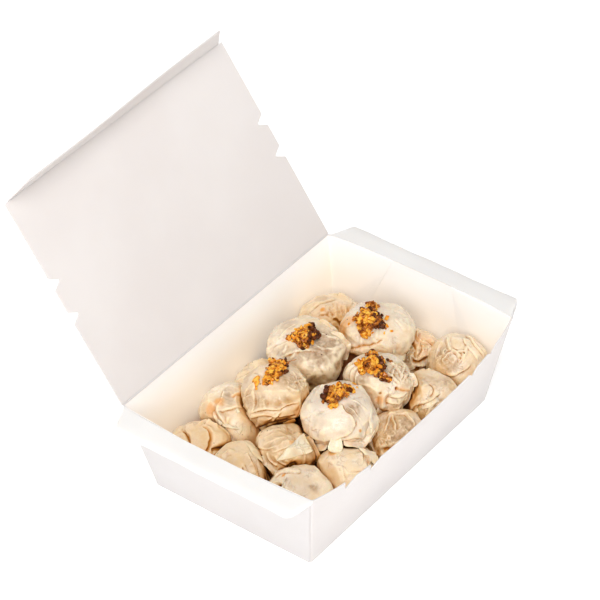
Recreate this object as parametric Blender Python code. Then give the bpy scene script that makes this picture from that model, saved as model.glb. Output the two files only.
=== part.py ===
"""Takeaway box of siu mai: a folded white card tray with a hinged lid, heaped with dumplings.

Frame: X along the hinge, the hinge at +Y, +Z up, origin at the middle of the tray's underside.
The lid stands open, leaning back over the hinge, with its tuck flap folded part of the way in.
"""
import bpy
import bmesh
from math import atan2, cos, hypot, pi, radians, sin, sqrt
from mathutils import Matrix, Vector

MM = 0.001

# Tray
CARD = 0.8 * MM                 # card thickness
HEIGHT = 55 * MM                # rim above the table
BASE_HALF_X = 75 * MM
BASE_HALF_Y = 49 * MM
RIM_HALF_X = 85 * MM
RIM_FRONT_Y = 58.7 * MM         # front rim corners, at -Y
RIM_BACK_Y = 59.7 * MM          # hinge line, at +Y
RIM_GAP = 0.3 * MM              # between the rim and a closed lid
CORNER_CUT = 1.5 * MM
LEVELS = 5                      # rings of points up each wall
FRONT_BULGE = 8.2 * MM          # how far the food pushes the middle of the front rim out
FRONT_SAG = 2.8 * MM            # how far that lowers it
END_BULGE = 2.5 * MM
BULGE_RISE = 1.5                # the bulge grows with height to this power
FRONT_NOTCHES = (41.5 * MM, 60 * MM)
FRONT_NOTCH_HALF = 4 * MM
FRONT_NOTCH_DEPTH = 6.5 * MM

# Folded rims along the two short ends
END_RIM_WIDTH = 14 * MM
END_RIM_THICKNESS = 5 * MM
END_RIM_HALF_Y = 57.5 * MM
END_RIM_OUTER_HALF_Y = 54.5 * MM
END_RIM_STEPS = 8

# Lid and tuck flap
LID_HALF_X = 85 * MM
LID_DEPTH = 118.2 * MM          # hinge line to the outer edge of the front fold
LID_OPEN = 125                  # degrees from closed, at rest
HINGE_CLEARANCE = 0.6 * MM
LID_NOTCHES = (51 * MM, 70.3 * MM)
LID_NOTCH_HALF = 3.4 * MM
LID_NOTCH_DEPTH = 5.5 * MM
FLAP_DEPTH = 16 * MM
FLAP_ROOT_HALF = 82 * MM
FLAP_TIP_HALF = 76 * MM
FLAP_FOLD = 60                  # degrees folded in from the lid, at rest
FOLD_CLEARANCE = 0.4 * MM

# Dumplings
GAP = 0.2 * MM                  # left on each side of every contact
AROUND = 20                     # points round a dumpling
STACKED = 10                    # bands from its foot to its top
BOXINESS = 2.4                  # exponent of the round body, 2 is an ellipsoid
FIRMNESS = 26                   # how sharply a dumpling flattens where it is pressed
PLEAT_DEPTH = 0.035             # of the radius
PRESS_LEVEL = 0.4               # the wall's bulge counts this far up a dumpling's centre height
GRAZING = 0.05                  # a plane this close to edge-on does not limit the skin

# Each dumpling: centre x, y, z, width across and height in mm; lean and its heading in degrees;
# number of pleats. The first five lie on top and carry the garlic.
SIU_MAI = (
    (-12, -19, 35.4, 41, 29.5, 8, 250, 5),
    (-18, 16, 35.6, 37, 29.5, 10, 160, 4),
    (19, 26, 35.2, 43, 29.5, 8, 120, 5),
    (52, 3, 35.6, 41, 29, 6, 20, 5),
    (21, -20, 33.4, 38, 29.5, 10, 300, 6),
    (67, -37, 22.5, 33, 36, 12, 330, 7),
    (64, -9, 17, 34, 32, 10, 40, 8),
    (38, -39, 19, 34, 34, 16, 290, 6),
    (7, -39.5, 17, 35, 31, 10, 240, 7),
    (-30, -38, 18, 36, 32, 8, 260, 5),
    (-56, -29, 18, 38, 32, 10, 200, 6),
    (-38, -6, 22, 35, 33, 12, 220, 7),
    (-60, 7, 18, 35, 32, 12, 190, 6),
    (-57, 34, 16, 38, 30, 10, 150, 4),
    (-31, 35, 21, 34, 35, 10, 130, 5),
    (57, 38, 18.5, 39, 35, 12, 60, 6),
    (-6, -7, 17, 42, 32, 0, 0, 6),
    (30, 6, 18, 42, 34, 0, 0, 6),
    (0, 36, 16, 38, 30, 0, 0, 5),
    (31, 38, 16, 38, 30, 0, 0, 6),
)

# Garlic heaps: which dumpling, where on it (degrees from the top, heading), length and width
# in mm, and the turn of the heap's long side.
TOPPINGS = (
    (1, 5, 156, 16, 11, 20),
    (2, 12, 17, 15, 11, 55),
    (3, 20, 226, 15, 11, 50),
    (4, 24, 178, 18, 14, 70),
    (5, 10, 165, 17, 12, -40),
)
TOPPING_HEIGHT = 3.0 * MM
TOPPING_GAP = 0.5 * MM
TOPPING_EDGE = 0.8 * MM         # thickness where the heap runs out
TOPPING_AROUND = 12
TOPPING_RINGS = 3


def material(name, colour, roughness):
    made = bpy.data.materials.new(name)
    made.use_nodes = True
    shader = made.node_tree.nodes["Principled BSDF"]
    shader.inputs["Base Color"].default_value = (*colour, 1)
    shader.inputs["Roughness"].default_value = roughness
    shader.inputs["Metallic"].default_value = 0
    return made


def add_object(name, points, faces, colour, roughness):
    mesh = bpy.data.meshes.new(name)
    mesh.from_pydata([tuple(point) for point in points], [], faces)
    work = bmesh.new()
    work.from_mesh(mesh)
    bmesh.ops.recalc_face_normals(work, faces=work.faces)
    work.to_mesh(mesh)
    work.free()
    mesh.materials.append(material(name, colour, roughness))
    made = bpy.data.objects.new(name, mesh)
    bpy.context.collection.objects.link(made)
    return made


# ---------------------------------------------------------------- tray

def front_shape(x):
    """Share of the front wall's bulge at x: none at the corners, full in the middle."""
    return max(0.0, 1 - abs(x / RIM_HALF_X) ** 3)


def end_shape(y):
    """The same for the two short walls, flatter along the middle."""
    return max(0.0, 1 - abs(y / RIM_FRONT_Y) ** 4)


def bulge_at(height):
    """Share of the rim's bulge at a height: the walls are held straight at the base."""
    return max(0.0, height / HEIGHT) ** BULGE_RISE


def front_rim_height(x):
    height = HEIGHT - RIM_GAP - FRONT_SAG * front_shape(x)
    for middle in FRONT_NOTCHES:
        height -= FRONT_NOTCH_DEPTH * max(0.0, 1 - abs(abs(x) - middle) / FRONT_NOTCH_HALF)
    return height


def front_stations():
    """Places along the front wall: even steps, with the notches' own points among them."""
    reach = RIM_HALF_X - CORNER_CUT
    steps = [-reach + 2 * reach * i / 10 for i in range(11)]
    cuts = [middle + side * FRONT_NOTCH_HALF for middle in FRONT_NOTCHES for side in (-1, 0, 1)]
    cuts += [-cut for cut in cuts]
    keep = [x for x in steps if all(abs(x - cut) > FRONT_NOTCH_HALF for cut in cuts)]
    return sorted(keep + cuts)


def spread(low, high, count):
    return [low + (high - low) * i / (count - 1) for i in range(count)]


def wall_stations():
    """One turn round the rim: side name and the place along it."""
    side_reach = 1 - CORNER_CUT / RIM_FRONT_Y
    turn = [("front", x / RIM_HALF_X) for x in front_stations()]
    turn += [("right", y) for y in spread(-side_reach, side_reach, 7)]
    turn += [("back", x) for x in (1 - CORNER_CUT / RIM_HALF_X, -1 + CORNER_CUT / RIM_HALF_X)]
    turn += [("left", y) for y in spread(side_reach, -side_reach, 7)]
    return turn


def wall_point(side, along, step, inset):
    """A point on the tray wall, some steps up from the base; inset for the inner skin."""
    last = LEVELS - 1
    z = (HEIGHT - RIM_GAP) * step / last
    if side == "front" and step == last:
        z = front_rim_height(along * RIM_HALF_X)
    level = z / HEIGHT
    half_x = BASE_HALF_X + (RIM_HALF_X - BASE_HALF_X) * level - inset
    front_y = BASE_HALF_Y + (RIM_FRONT_Y - BASE_HALF_Y) * level - inset
    back_y = BASE_HALF_Y + (RIM_BACK_Y - BASE_HALF_Y) * level - inset
    if side == "front":
        x = along * half_x
        y = -front_y - FRONT_BULGE * front_shape(along * RIM_HALF_X) * bulge_at(z)
    elif side == "back":
        x, y = along * half_x, back_y
    else:
        y = along * (back_y if along > 0 else front_y)
        x = half_x + END_BULGE * end_shape(along * RIM_FRONT_Y) * bulge_at(z)
        x = x if side == "right" else -x
    return Vector((x, y, max(z, inset)))


def build_tray():
    stations = wall_stations()
    count = len(stations)
    points, rings = [], []
    for inset in (0.0, CARD):
        for step in range(LEVELS):
            rings.append(len(points))
            points += [wall_point(side, along, step, inset) for side, along in stations]
    outer, inner = rings[:LEVELS], rings[LEVELS:]
    path = outer + inner[::-1]
    faces = [[outer[0] + i for i in range(count)], [inner[0] + i for i in range(count)]]
    for low, high in zip(path, path[1:]):
        for i in range(count):
            j = (i + 1) % count
            faces.append((low + i, low + j, high + j, high + i))
    return add_object("tray", points, faces, (0.93, 0.92, 0.90), 0.6)


# ---------------------------------------------------------------- folded end rims

def build_end_rim(name, side):
    """A flattened card tube along one short end, bent to follow the bulged wall."""
    points, faces = [], []
    top = HEIGHT - RIM_GAP - CARD / 2
    for i in range(END_RIM_STEPS + 1):
        share = -1 + 2 * i / END_RIM_STEPS
        wall_y = share * END_RIM_HALF_Y
        outer_y = share * END_RIM_OUTER_HALF_Y
        bulge = END_BULGE * end_shape(wall_y)
        low_level = (top - END_RIM_THICKNESS) / HEIGHT
        wall_top = RIM_HALF_X + bulge + 2 * GAP
        wall_low = BASE_HALF_X + (RIM_HALF_X - BASE_HALF_X) * low_level
        wall_low += bulge * low_level ** BULGE_RISE + 2 * GAP
        far = RIM_HALF_X + END_RIM_WIDTH
        points += [
            (side * wall_top, wall_y, top),
            (side * far, outer_y, top - CARD / 2),
            (side * (far + CARD / 2), outer_y, top - END_RIM_THICKNESS + CARD / 2),
            (side * wall_low, wall_y, top - END_RIM_THICKNESS),
        ]
    for i in range(END_RIM_STEPS):
        for j in range(4):
            k = (j + 1) % 4
            faces.append((4 * i + j, 4 * i + k, 4 * i + 4 + k, 4 * i + 4 + j))
    faces += [(0, 1, 2, 3), [4 * END_RIM_STEPS + j for j in range(4)]]
    return add_object(name, points, faces, (0.94, 0.93, 0.92), 0.6)


# ---------------------------------------------------------------- lid and tuck flap

def plate(name, outline, colour):
    """A card plate: inner face at local z = 0, thickness on the outer side."""
    count = len(outline)
    points = [(x, y, 0) for x, y in outline] + [(x, y, CARD) for x, y in outline]
    faces = [list(range(count)), list(range(count, 2 * count))]
    for i in range(count):
        j = (i + 1) % count
        faces.append((i, j, count + j, count + i))
    return add_object(name, points, faces, colour, 0.6)


def build_lid():
    """Closed, the lid lies along -Y from the hinge; it is turned open about the hinge line."""
    fold = LID_DEPTH - CARD
    right = [(LID_HALF_X, -HINGE_CLEARANCE)]
    for middle in LID_NOTCHES:
        right.append((LID_HALF_X, -middle + LID_NOTCH_HALF))
        right.append((LID_HALF_X - LID_NOTCH_DEPTH, -middle))
        right.append((LID_HALF_X, -middle - LID_NOTCH_HALF))
    right.append((LID_HALF_X, -fold + FOLD_CLEARANCE))
    outline = right + [(-x, y) for x, y in reversed(right)]
    lid = plate("lid", outline, (0.93, 0.91, 0.89))
    lid.location = (0, RIM_BACK_Y, HEIGHT)
    lid.rotation_euler = (-radians(LID_OPEN), 0, 0)

    flap_outline = [
        (FLAP_ROOT_HALF, -FOLD_CLEARANCE),
        (FLAP_TIP_HALF, -FLAP_DEPTH),
        (-FLAP_TIP_HALF, -FLAP_DEPTH),
        (-FLAP_ROOT_HALF, -FOLD_CLEARANCE),
    ]
    flap = plate("tuck_flap", flap_outline, (0.90, 0.88, 0.85))
    flap.parent = lid
    flap.location = (0, -fold, 0)
    flap.rotation_euler = (radians(FLAP_FOLD), 0, 0)


# ---------------------------------------------------------------- dumplings

def body_radius(direction, across, height, pleats):
    """Distance from the centre of an unpressed dumpling to its skin, along a local direction."""
    flat = hypot(direction.x, direction.y)
    round_part = (2 * flat / across) ** BOXINESS
    tall_part = (2 * abs(direction.z) / height) ** BOXINESS
    radius = (round_part + tall_part) ** (-1 / BOXINESS)
    wave = cos(pleats * atan2(direction.y, direction.x)) if flat > 1e-9 else 0
    return radius * (1 + PLEAT_DEPTH * wave * flat ** 3)


def tray_planes(centre, across):
    """Inner faces of the tray as (outward normal, distance from the centre)."""
    planes = [(Vector((0, 0, -1)), centre.z - CARD - GAP)]
    sides = (
        (Vector((1, 0)), BASE_HALF_X, RIM_HALF_X, 0),
        (Vector((-1, 0)), BASE_HALF_X, RIM_HALF_X, 0),
        (Vector((0, 1)), BASE_HALF_Y, RIM_BACK_Y, 0),
        (Vector((0, -1)), BASE_HALF_Y, RIM_FRONT_Y, FRONT_BULGE),
    )
    for way, base, rim, bulge in sides:
        slope = (rim - base) / HEIGHT
        length = sqrt(1 + slope * slope)
        normal = Vector((way.x, way.y, -slope)) / length
        pushed = bulge * front_shape(abs(centre.x) + across / 2) * bulge_at(PRESS_LEVEL * centre.z)
        wall_here = base + slope * centre.z - CARD + pushed
        reach = (wall_here - way.dot(centre.xy)) / length
        planes.append((normal, reach - GAP))
    return planes


def place_dumplings():
    placed = []
    for x, y, z, across, height, lean, heading, pleats in SIU_MAI:
        axis = Vector((-sin(radians(heading)), cos(radians(heading)), 0))
        placed.append({
            "centre": Vector((x, y, z)) * MM,
            "across": across * MM,
            "height": height * MM,
            "pleats": pleats,
            "turn": Matrix.Rotation(radians(lean), 3, axis),
        })
    for dumpling in placed:
        dumpling["planes"] = tray_planes(dumpling["centre"], dumpling["across"])
    for i, one in enumerate(placed):
        for other in placed[i + 1:]:
            press(one, other)
    return placed


def free_radius(dumpling, direction):
    local = dumpling["turn"].transposed() @ direction
    return body_radius(local, dumpling["across"], dumpling["height"], dumpling["pleats"])


def press(one, other):
    """Share the room between two neighbours: each keeps to its own side of one plane."""
    between = other["centre"] - one["centre"]
    distance = between.length
    way = between / distance
    reach_one = free_radius(one, way)
    reach_other = free_radius(other, -way)
    split = distance * reach_one / (reach_one + reach_other)
    one["planes"].append((way, split - GAP))
    other["planes"].append((-way, distance - split - GAP))


def skin_radius(dumpling, direction):
    """The body, flattened wherever it presses on the tray or a neighbour."""
    limits = [free_radius(dumpling, direction)]
    for normal, reach in dumpling["planes"]:
        facing = normal.dot(direction)
        if facing > GRAZING:
            limits.append(reach / facing)
    return sum(limit ** -FIRMNESS for limit in limits) ** (-1 / FIRMNESS)


def build_dumpling(name, dumpling):
    points = []
    for band in range(1, STACKED):
        polar = pi * band / STACKED
        for i in range(AROUND):
            angle = 2 * pi * i / AROUND
            way = Vector((sin(polar) * cos(angle), sin(polar) * sin(angle), cos(polar)))
            points.append(way * skin_radius(dumpling, way))
    for way in (Vector((0, 0, 1)), Vector((0, 0, -1))):
        points.append(way * skin_radius(dumpling, way))
    top, foot = len(points) - 2, len(points) - 1
    faces = []
    last = (STACKED - 2) * AROUND
    for i in range(AROUND):
        j = (i + 1) % AROUND
        faces.append((top, i, j))
        faces.append((foot, last + j, last + i))
        for band in range(STACKED - 2):
            low = band * AROUND
            faces.append((low + i, low + AROUND + i, low + AROUND + j, low + j))
    made = add_object(name, points, faces, (0.86, 0.72, 0.55), 0.4)
    made.location = dumpling["centre"]
    return made


def build_topping(name, dumpling, tilt, heading, length, width, turn):
    """A low uneven heap that follows the top of its dumpling with a small gap under it."""
    tilt, heading, turn = radians(tilt), radians(heading), radians(turn)
    up = Vector((sin(tilt) * cos(heading), sin(tilt) * sin(heading), cos(tilt)))
    first = Vector((cos(turn), sin(turn), 0))
    first = (first - up * first.dot(up)).normalized()
    second = up.cross(first)
    middle = up * skin_radius(dumpling, up)

    def skin_point(share, angle, lift):
        reach = 1 + 0.12 * sin(3 * angle + turn) + 0.08 * cos(5 * angle)
        along = first * (cos(angle) * length * MM / 2 * share * reach)
        across = second * (sin(angle) * width * MM / 2 * share * reach)
        way = (middle + along + across).normalized()
        return way * (skin_radius(dumpling, way) + TOPPING_GAP + lift)

    def heap_height(share, angle):
        lumps = 0.8 + 0.2 * sin(4 * angle + heading)
        return TOPPING_HEIGHT * lumps * (1 - share ** 2.5) + TOPPING_EDGE

    points = [skin_point(0, 0, 0), skin_point(0, 0, TOPPING_HEIGHT)]
    for lifted in (False, True):
        for ring in range(1, TOPPING_RINGS + 1):
            share = ring / TOPPING_RINGS
            for i in range(TOPPING_AROUND):
                angle = 2 * pi * i / TOPPING_AROUND
                lift = heap_height(share, angle) if lifted else 0
                points.append(skin_point(share, angle, lift))
    faces = []
    rings = [2 + TOPPING_AROUND * ring for ring in range(2 * TOPPING_RINGS)]
    under, over = rings[:TOPPING_RINGS], rings[TOPPING_RINGS:]
    path = under + over[::-1]
    for i in range(TOPPING_AROUND):
        j = (i + 1) % TOPPING_AROUND
        faces.append((0, under[0] + j, under[0] + i))
        faces.append((1, over[0] + i, over[0] + j))
        for low, high in zip(path, path[1:]):
            faces.append((low + i, low + j, high + j, high + i))
    made = add_object(name, points, faces, (0.75, 0.30, 0.04), 0.5)
    made.location = dumpling["centre"]
    return made


def main():
    for old in list(bpy.data.objects):
        bpy.data.objects.remove(old)
    build_tray()
    build_end_rim("end_rim_left", -1)
    build_end_rim("end_rim_right", 1)
    build_lid()
    dumplings = place_dumplings()
    for number, dumpling in enumerate(dumplings, 1):
        build_dumpling(f"siu_mai_{number:02d}", dumpling)
    for number, (below, tilt, heading, length, width, turn) in enumerate(TOPPINGS, 1):
        build_topping(f"garlic_{number:02d}", dumplings[below - 1], tilt, heading, length, width, turn)


main()
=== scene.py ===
"""A takeaway box of siu mai: a folded white card box, twenty dumplings and fried garlic on top."""
from math import cos, pi, radians, sin, sqrt

import bpy
import numpy as np
from mathutils import Matrix, Vector
from mathutils.kdtree import KDTree


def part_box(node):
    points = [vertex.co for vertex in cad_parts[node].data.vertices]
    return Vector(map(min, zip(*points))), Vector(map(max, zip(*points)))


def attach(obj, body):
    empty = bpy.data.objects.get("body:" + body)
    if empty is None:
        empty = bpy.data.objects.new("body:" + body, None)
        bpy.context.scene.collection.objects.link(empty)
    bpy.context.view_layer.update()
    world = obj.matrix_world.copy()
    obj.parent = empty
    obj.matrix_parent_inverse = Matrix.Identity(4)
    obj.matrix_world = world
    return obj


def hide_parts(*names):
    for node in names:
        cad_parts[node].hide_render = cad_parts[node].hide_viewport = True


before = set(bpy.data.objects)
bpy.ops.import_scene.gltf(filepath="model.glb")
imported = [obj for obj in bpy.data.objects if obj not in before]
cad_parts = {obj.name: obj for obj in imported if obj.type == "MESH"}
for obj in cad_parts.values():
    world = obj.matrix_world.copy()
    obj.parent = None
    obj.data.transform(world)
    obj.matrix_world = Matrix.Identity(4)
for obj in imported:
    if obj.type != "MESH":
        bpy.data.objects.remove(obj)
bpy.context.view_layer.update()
mm = 0.001


# ---------------------------------------------------------------- tray
# The tray is one sheet of white coated card, cut and folded up into four sloping walls.
# The food pushes the front wall out, so its rim bows and dips between the corners.

class Wire:
    """A value in a material's node tree; sums and products of wires add Math nodes."""

    def __init__(self, tree, socket=None):
        self.tree = tree
        self.socket = socket

    def node(self, kind, settings=None, sockets=None, give=0):
        made = self.tree.nodes.new("ShaderNode" + kind)
        for name, value in (settings or {}).items():
            setattr(made, name, value)
        for name, value in (sockets or {}).items():
            if isinstance(value, Wire):
                self.tree.links.new(made.inputs[name], value.socket)
            else:
                made.inputs[name].default_value = value
        return Wire(self.tree, made.outputs[give])

    def math(self, operation, *values):
        return self.node("Math", {"operation": operation}, dict(enumerate(values)))

    def __add__(self, other):
        return self.math("ADD", self, other)

    def __sub__(self, other):
        return self.math("SUBTRACT", self, other)

    def __rsub__(self, other):
        return self.math("SUBTRACT", other, self)

    def __mul__(self, other):
        return self.math("MULTIPLY", self, other)

    def __pow__(self, other):
        return self.math("POWER", self, other)

    __radd__ = __add__
    __rmul__ = __mul__

    def clamp(self):
        return self.node("Clamp", None, {"Value": self})

    def between(self, low, high):
        """0 below low, 1 above high, and smooth between them."""
        return self.node("MapRange", {"interpolation_type": "SMOOTHSTEP"},
                         {"Value": self, "From Min": low, "From Max": high})

    def noise(self, place, scale, detail=2.0, roughness=0.5, distortion=0.0):
        return self.node("TexNoise", None, {"Vector": place, "Scale": scale, "Detail": detail,
                                            "Roughness": roughness, "Distortion": distortion})

    def mix(self, first, second):
        """A colour between two, by this value."""
        sides = {"Factor": self}
        for socket, colour in ((6, first), (7, second)):
            sides[socket] = colour if isinstance(colour, Wire) else (*colour, 1)
        return self.node("Mix", {"data_type": "RGBA"}, sides, give=2)


def new_finish(name, **fixed):
    """A material whose shader has these fixed values; gives the material, a wire and its place."""
    finish = bpy.data.materials.new(name)
    finish.use_nodes = True
    tree = finish.node_tree
    shader = tree.nodes["Principled BSDF"]
    for socket, value in fixed.items():
        shader.inputs[socket.replace("_", " ")].default_value = value
    wire = Wire(tree)
    place = wire.node("TexCoord", None, None, give=3)
    return finish, wire, place


def wear(finish, **looks):
    """Connects what varies over the surface to the material's shader."""
    tree = finish.node_tree
    for socket, wire in looks.items():
        tree.links.new(tree.nodes["Principled BSDF"].inputs[socket.replace("_", " ")], wire.socket)


def white_card(name, dull, bright, rough):
    """White board with a faint cloudy tone, a few dull fibres and a very fine tooth."""
    finish, wire, place = new_finish(name, IOR=1.45, Specular_IOR_Level=0.35, Subsurface_Weight=0.5,
                                     Subsurface_Scale=1.6 * mm, Subsurface_Radius=(1.0, 0.92, 0.82))
    cloudy = wire.noise(place, 22, detail=3)
    fibre = wire.noise(place, 1500, detail=4, roughness=0.65)
    pulp = wire.noise(place, 260, detail=3, roughness=0.6)
    warm_white = cloudy.between(0.35, 0.7).mix(dull, bright)
    fleck = fibre.between(0.62, 0.8) * 0.25
    wear(
        finish,
        Base_Color=fleck.mix(warm_white, tuple(0.95 * tone for tone in dull)),
        Roughness=rough + 0.16 * pulp,
        Normal=wire.node("Bump", None, {"Strength": 0.35, "Distance": 0.06 * mm,
                                        "Height": fibre * 0.6 + pulp * 0.9}),
    )
    return finish


card = white_card("white_card", (0.686, 0.651, 0.642), (0.708, 0.676, 0.667), 0.46)


def add_piece(name, points, faces, finish, body, replaced=(), sharp=35):
    """Makes a mesh, gives it its finish, and sets it on the body it moves with."""
    mesh = bpy.data.meshes.new(name)
    mesh.from_pydata([tuple(point) for point in points], [], faces)
    mesh.materials.append(finish)
    mesh.shade_smooth()
    mesh.set_sharp_from_angle(angle=radians(sharp))
    piece = bpy.data.objects.new(name, mesh)
    bpy.context.scene.collection.objects.link(piece)
    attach(piece, body)
    if replaced:
        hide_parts(*replaced)
    return piece


def skin_faces(rings, closed=True):
    """Quads between rows of point numbers."""
    faces = []
    for low, high in zip(rings, rings[1:]):
        count = len(low)
        for i in range(count if closed else count - 1):
            j = (i + 1) % count
            faces.append((low[i], low[j], high[j], high[i]))
    return faces


def add_row(points, rows, row):
    """Adds a row of points, and the list of their numbers."""
    rows.append(list(range(len(points), len(points) + len(row))))
    points += row


card_thick = 0.6 * mm
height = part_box("tray")[1].z
base_x, rim_x = 75 * mm, 85 * mm
base_y, rim_front, rim_back = 49 * mm, 58.7 * mm, 59.7 * mm
front_bulge, front_sag, end_bulge = 8.2 * mm, 2.8 * mm, 2.5 * mm
fold_round = 1.3 * mm
notch_middles, notch_half, notch_depth = (41.5 * mm, 60 * mm), 4 * mm, 6.5 * mm
notch_foot = height - 12 * mm
foot_round = 0.9 * mm


def front_rim(x):
    """Height of the front rim at x, with its dip and its four nicks, each cut square and then slanting."""
    top = height - front_sag * (1 - abs(x / rim_x) ** 3)
    for middle in notch_middles:
        across = (abs(x) - middle) / notch_half
        top -= notch_depth * max(0, min(1, (1 - across) / 0.2, (1 + across) / 1.8))
    return top


def wall_point(side, along, z, inset):
    """A point on a wall; along runs from -1 to 1 between the wall's two corners."""
    if side == "front" and z > notch_foot:
        z = notch_foot + (front_rim(along * rim_x) - notch_foot) * (z - notch_foot) / (height - notch_foot)
    rise = z / height
    half_x = base_x + (rim_x - base_x) * rise - inset
    front = base_y + (rim_front - base_y) * rise - inset
    back = base_y + (rim_back - base_y) * rise - inset
    ripple = 0.22 * mm * sin(9 * along + 3 * rise) * sin(pi * min(1, 2 * rise)) * (1 - along ** 4)
    if side in ("front", "back"):
        push = front_bulge * (1 - abs(along) ** 3) * rise ** 1.5 + ripple if side == "front" else ripple
        return Vector((along * half_x, -front - push if side == "front" else back + push, z))
    push = half_x + end_bulge * (1 - along ** 4) * rise ** 1.5 + ripple
    return Vector((push if side == "right" else -push, along * (back if along > 0 else front), z))


def tray_ring(z, inset):
    """One turn round the walls at a height, with a small radius at each folded corner."""
    turn = []
    walls = (("front", 1, rim_x, 240), ("right", 1, rim_front, 60), ("back", -1, rim_x, 60),
             ("left", -1, rim_front, 60))
    for side, way, half, steps in walls:
        reach = 1 - fold_round / half
        turn.append([wall_point(side, way * reach * (2 * i / steps - 1), z, inset) for i in range(steps + 1)])
    ring = []
    for one, following, (side, way, _, _) in zip(turn, turn[1:] + turn[:1], walls):
        ring += one
        corner = wall_point(side, way, z, inset)
        for share in (0.25, 0.5, 0.75):
            bend = one[-1] * (1 - share) ** 2 + corner * 2 * share * (1 - share) + following[0] * share ** 2
            ring.append(bend)
    return ring


levels = [0.0, 0.35 * mm, foot_round, *np.linspace(2.5 * mm, notch_foot, 18),
          *np.linspace(notch_foot, height, 11)[1:]]
tray_points, tray_rings = [], []
for inset in (0.0, card_thick):
    for z in levels:
        tuck = max(0.0, foot_round - z) * 0.6
        ring = tray_ring(z, inset + tuck)
        if inset:
            for point in ring:
                point.z = max(point.z, card_thick)
        add_row(tray_points, tray_rings, ring)
outer, inner = tray_rings[:len(levels)], tray_rings[len(levels):]
outside_faces = skin_faces(outer) + skin_faces([outer[-1], inner[-1]])
inside_faces = skin_faces(inner[::-1])
tray_faces = outside_faces + inside_faces + [outer[0][::-1], inner[0]]
tray = add_piece("folded_tray", tray_points, tray_faces, card, "tray", ["tray"])

# the card's inner side is painted darker and warmer towards the bottom and brown under the food:
# painted shade and warm light bounced from the food, with some oil staining; it also glows
# faintly, a painted glow standing in for light coming through the thin card
# its faint emission is a painted glow, not a lamp
inner_card_painted_light, wire, place = new_finish(
    "inner_card_painted_light", IOR=1.45, Specular_IOR_Level=0.4, Subsurface_Weight=0.5, Subsurface_Scale=1.6 * mm,
    Subsurface_Radius=(1.0, 0.9, 0.78), Emission_Color=(1.0, 0.93, 0.86, 1), Emission_Strength=0.115)
uneven = 0.006 * (wire.noise(place, 35, detail=3) - 0.5)
above_food = wire.node("SeparateXYZ", None, {"Vector": place}, give=2) + uneven
# painted shade and warm bounce light, with some oil staining: darker and warmer towards the bottom
stain_and_shade_tone = above_food.between(0.03, 0.056).mix((0.84, 0.76, 0.67), (0.93, 0.92, 0.905))
stain_and_shade_tone = above_food.between(0.008, 0.022).mix((0.45, 0.27, 0.13), stain_and_shade_tone)
fibre = wire.noise(place, 900, detail=4, roughness=0.6)
wear(
    inner_card_painted_light,
    Base_Color=stain_and_shade_tone,
    Roughness=0.36 + 0.2 * fibre,
    Normal=wire.node("Bump", None, {"Strength": 0.3, "Distance": 0.05 * mm, "Height": fibre}),
)
tray.data.materials.append(inner_card_painted_light)
tray.data.polygons.foreach_set("material_index", [0] * len(outside_faces) + [1] * len(inside_faces) + [0, 1])


# ---------------------------------------------------------------- corner gussets and end panels
# Each corner's spare card is folded flat against the inside of the short wall, ending in a
# slanted free edge. Outside, a second layer of card is glued over the short wall.

leaf_thick, leaf_gap, leaf_steps = 0.3 * mm, 0.04 * mm, 14
leaf_foot, leaf_top = 1.2 * mm, height - 0.6 * mm
panel_low, panel_high, panel_end = 0.6 * mm, height - 5 * mm, 0.975


def flipped(faces):
    return [face[::-1] for face in faces]


def sheet_faces(top, under):
    """Faces of a thin sheet between two grids of point numbers, with its edge closed all round."""
    edges = [rows[0] + [row[-1] for row in rows[1:]] + rows[-1][-2::-1] + [row[0] for row in rows[-2:0:-1]]
             for rows in (top, under)]
    return skin_faces(top, False) + flipped(skin_faces(under, False)) + flipped(skin_faces(edges))


def leaf(name, corners, bend):
    """A thin four-cornered leaf of card just off its wall, with a little bend in it."""
    a, b, c, d = corners
    out = (b - a).cross(d - a).normalized()
    points, rows = [], []
    for top in (0, 1):
        for j in range(leaf_steps + 1):
            row, v = [], j / leaf_steps
            for i in range(leaf_steps + 1):
                u = i / leaf_steps
                point = (a * (1 - u) + b * u) * (1 - v) + (d * (1 - u) + c * u) * v
                row.append(point + out * (leaf_gap + bend * u * u + leaf_thick * top))
            add_row(points, rows, row)
    faces = sheet_faces(rows[leaf_steps + 1:], rows[:leaf_steps + 1])
    add_piece(name, points, faces, inner_card_painted_light, "tray")


def inside(side, y, z):
    """A point on the inner face of a short wall."""
    limit = rim_back if y > 0 else rim_front
    rise = z / height
    along = y / (base_y + (limit - base_y) * rise)
    return wall_point(side, max(-1, min(1, along)), z, card_thick)


for side in ("right", "left"):
    for end in (1, -1):
        rim_y = (rim_back if end > 0 else rim_front) - 1.2 * mm
        corners = [inside(side, end * y, z) for y, z in (
            (base_y - 1 * mm, leaf_foot), (39 * mm, leaf_foot), (19 * mm, leaf_top), (rim_y, leaf_top))]
        mirrored = (side == "right") == (end < 0)
        if mirrored:
            corners = [corners[i] for i in (1, 0, 3, 2)]
        leaf(f"gusset_{side}_{'back' if end > 0 else 'front'}", corners, 0 if mirrored else 0.12 * mm)
    points, rows = [], []
    for depth in (-0.12 * mm, -0.55 * mm):
        for z in np.linspace(panel_low, panel_high, 20):
            add_row(points, rows, [wall_point(side, panel_end * (i / 20 - 1), z, depth) for i in range(41)])
    faces = sheet_faces(rows[:20], rows[20:])
    if side == "right":
        faces = flipped(faces)
    add_piece(f"end_panel_{side}", points, faces, card, "tray")


# ---------------------------------------------------------------- folded end rims
# Along each short end the card is folded outwards into a flattened tube, which stiffens the
# rim and stops the lid from dropping in. Its card is painted whiter than the walls' card,
# painted light for the rim's brightly lit top. Its ends taper to the corners.

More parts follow.
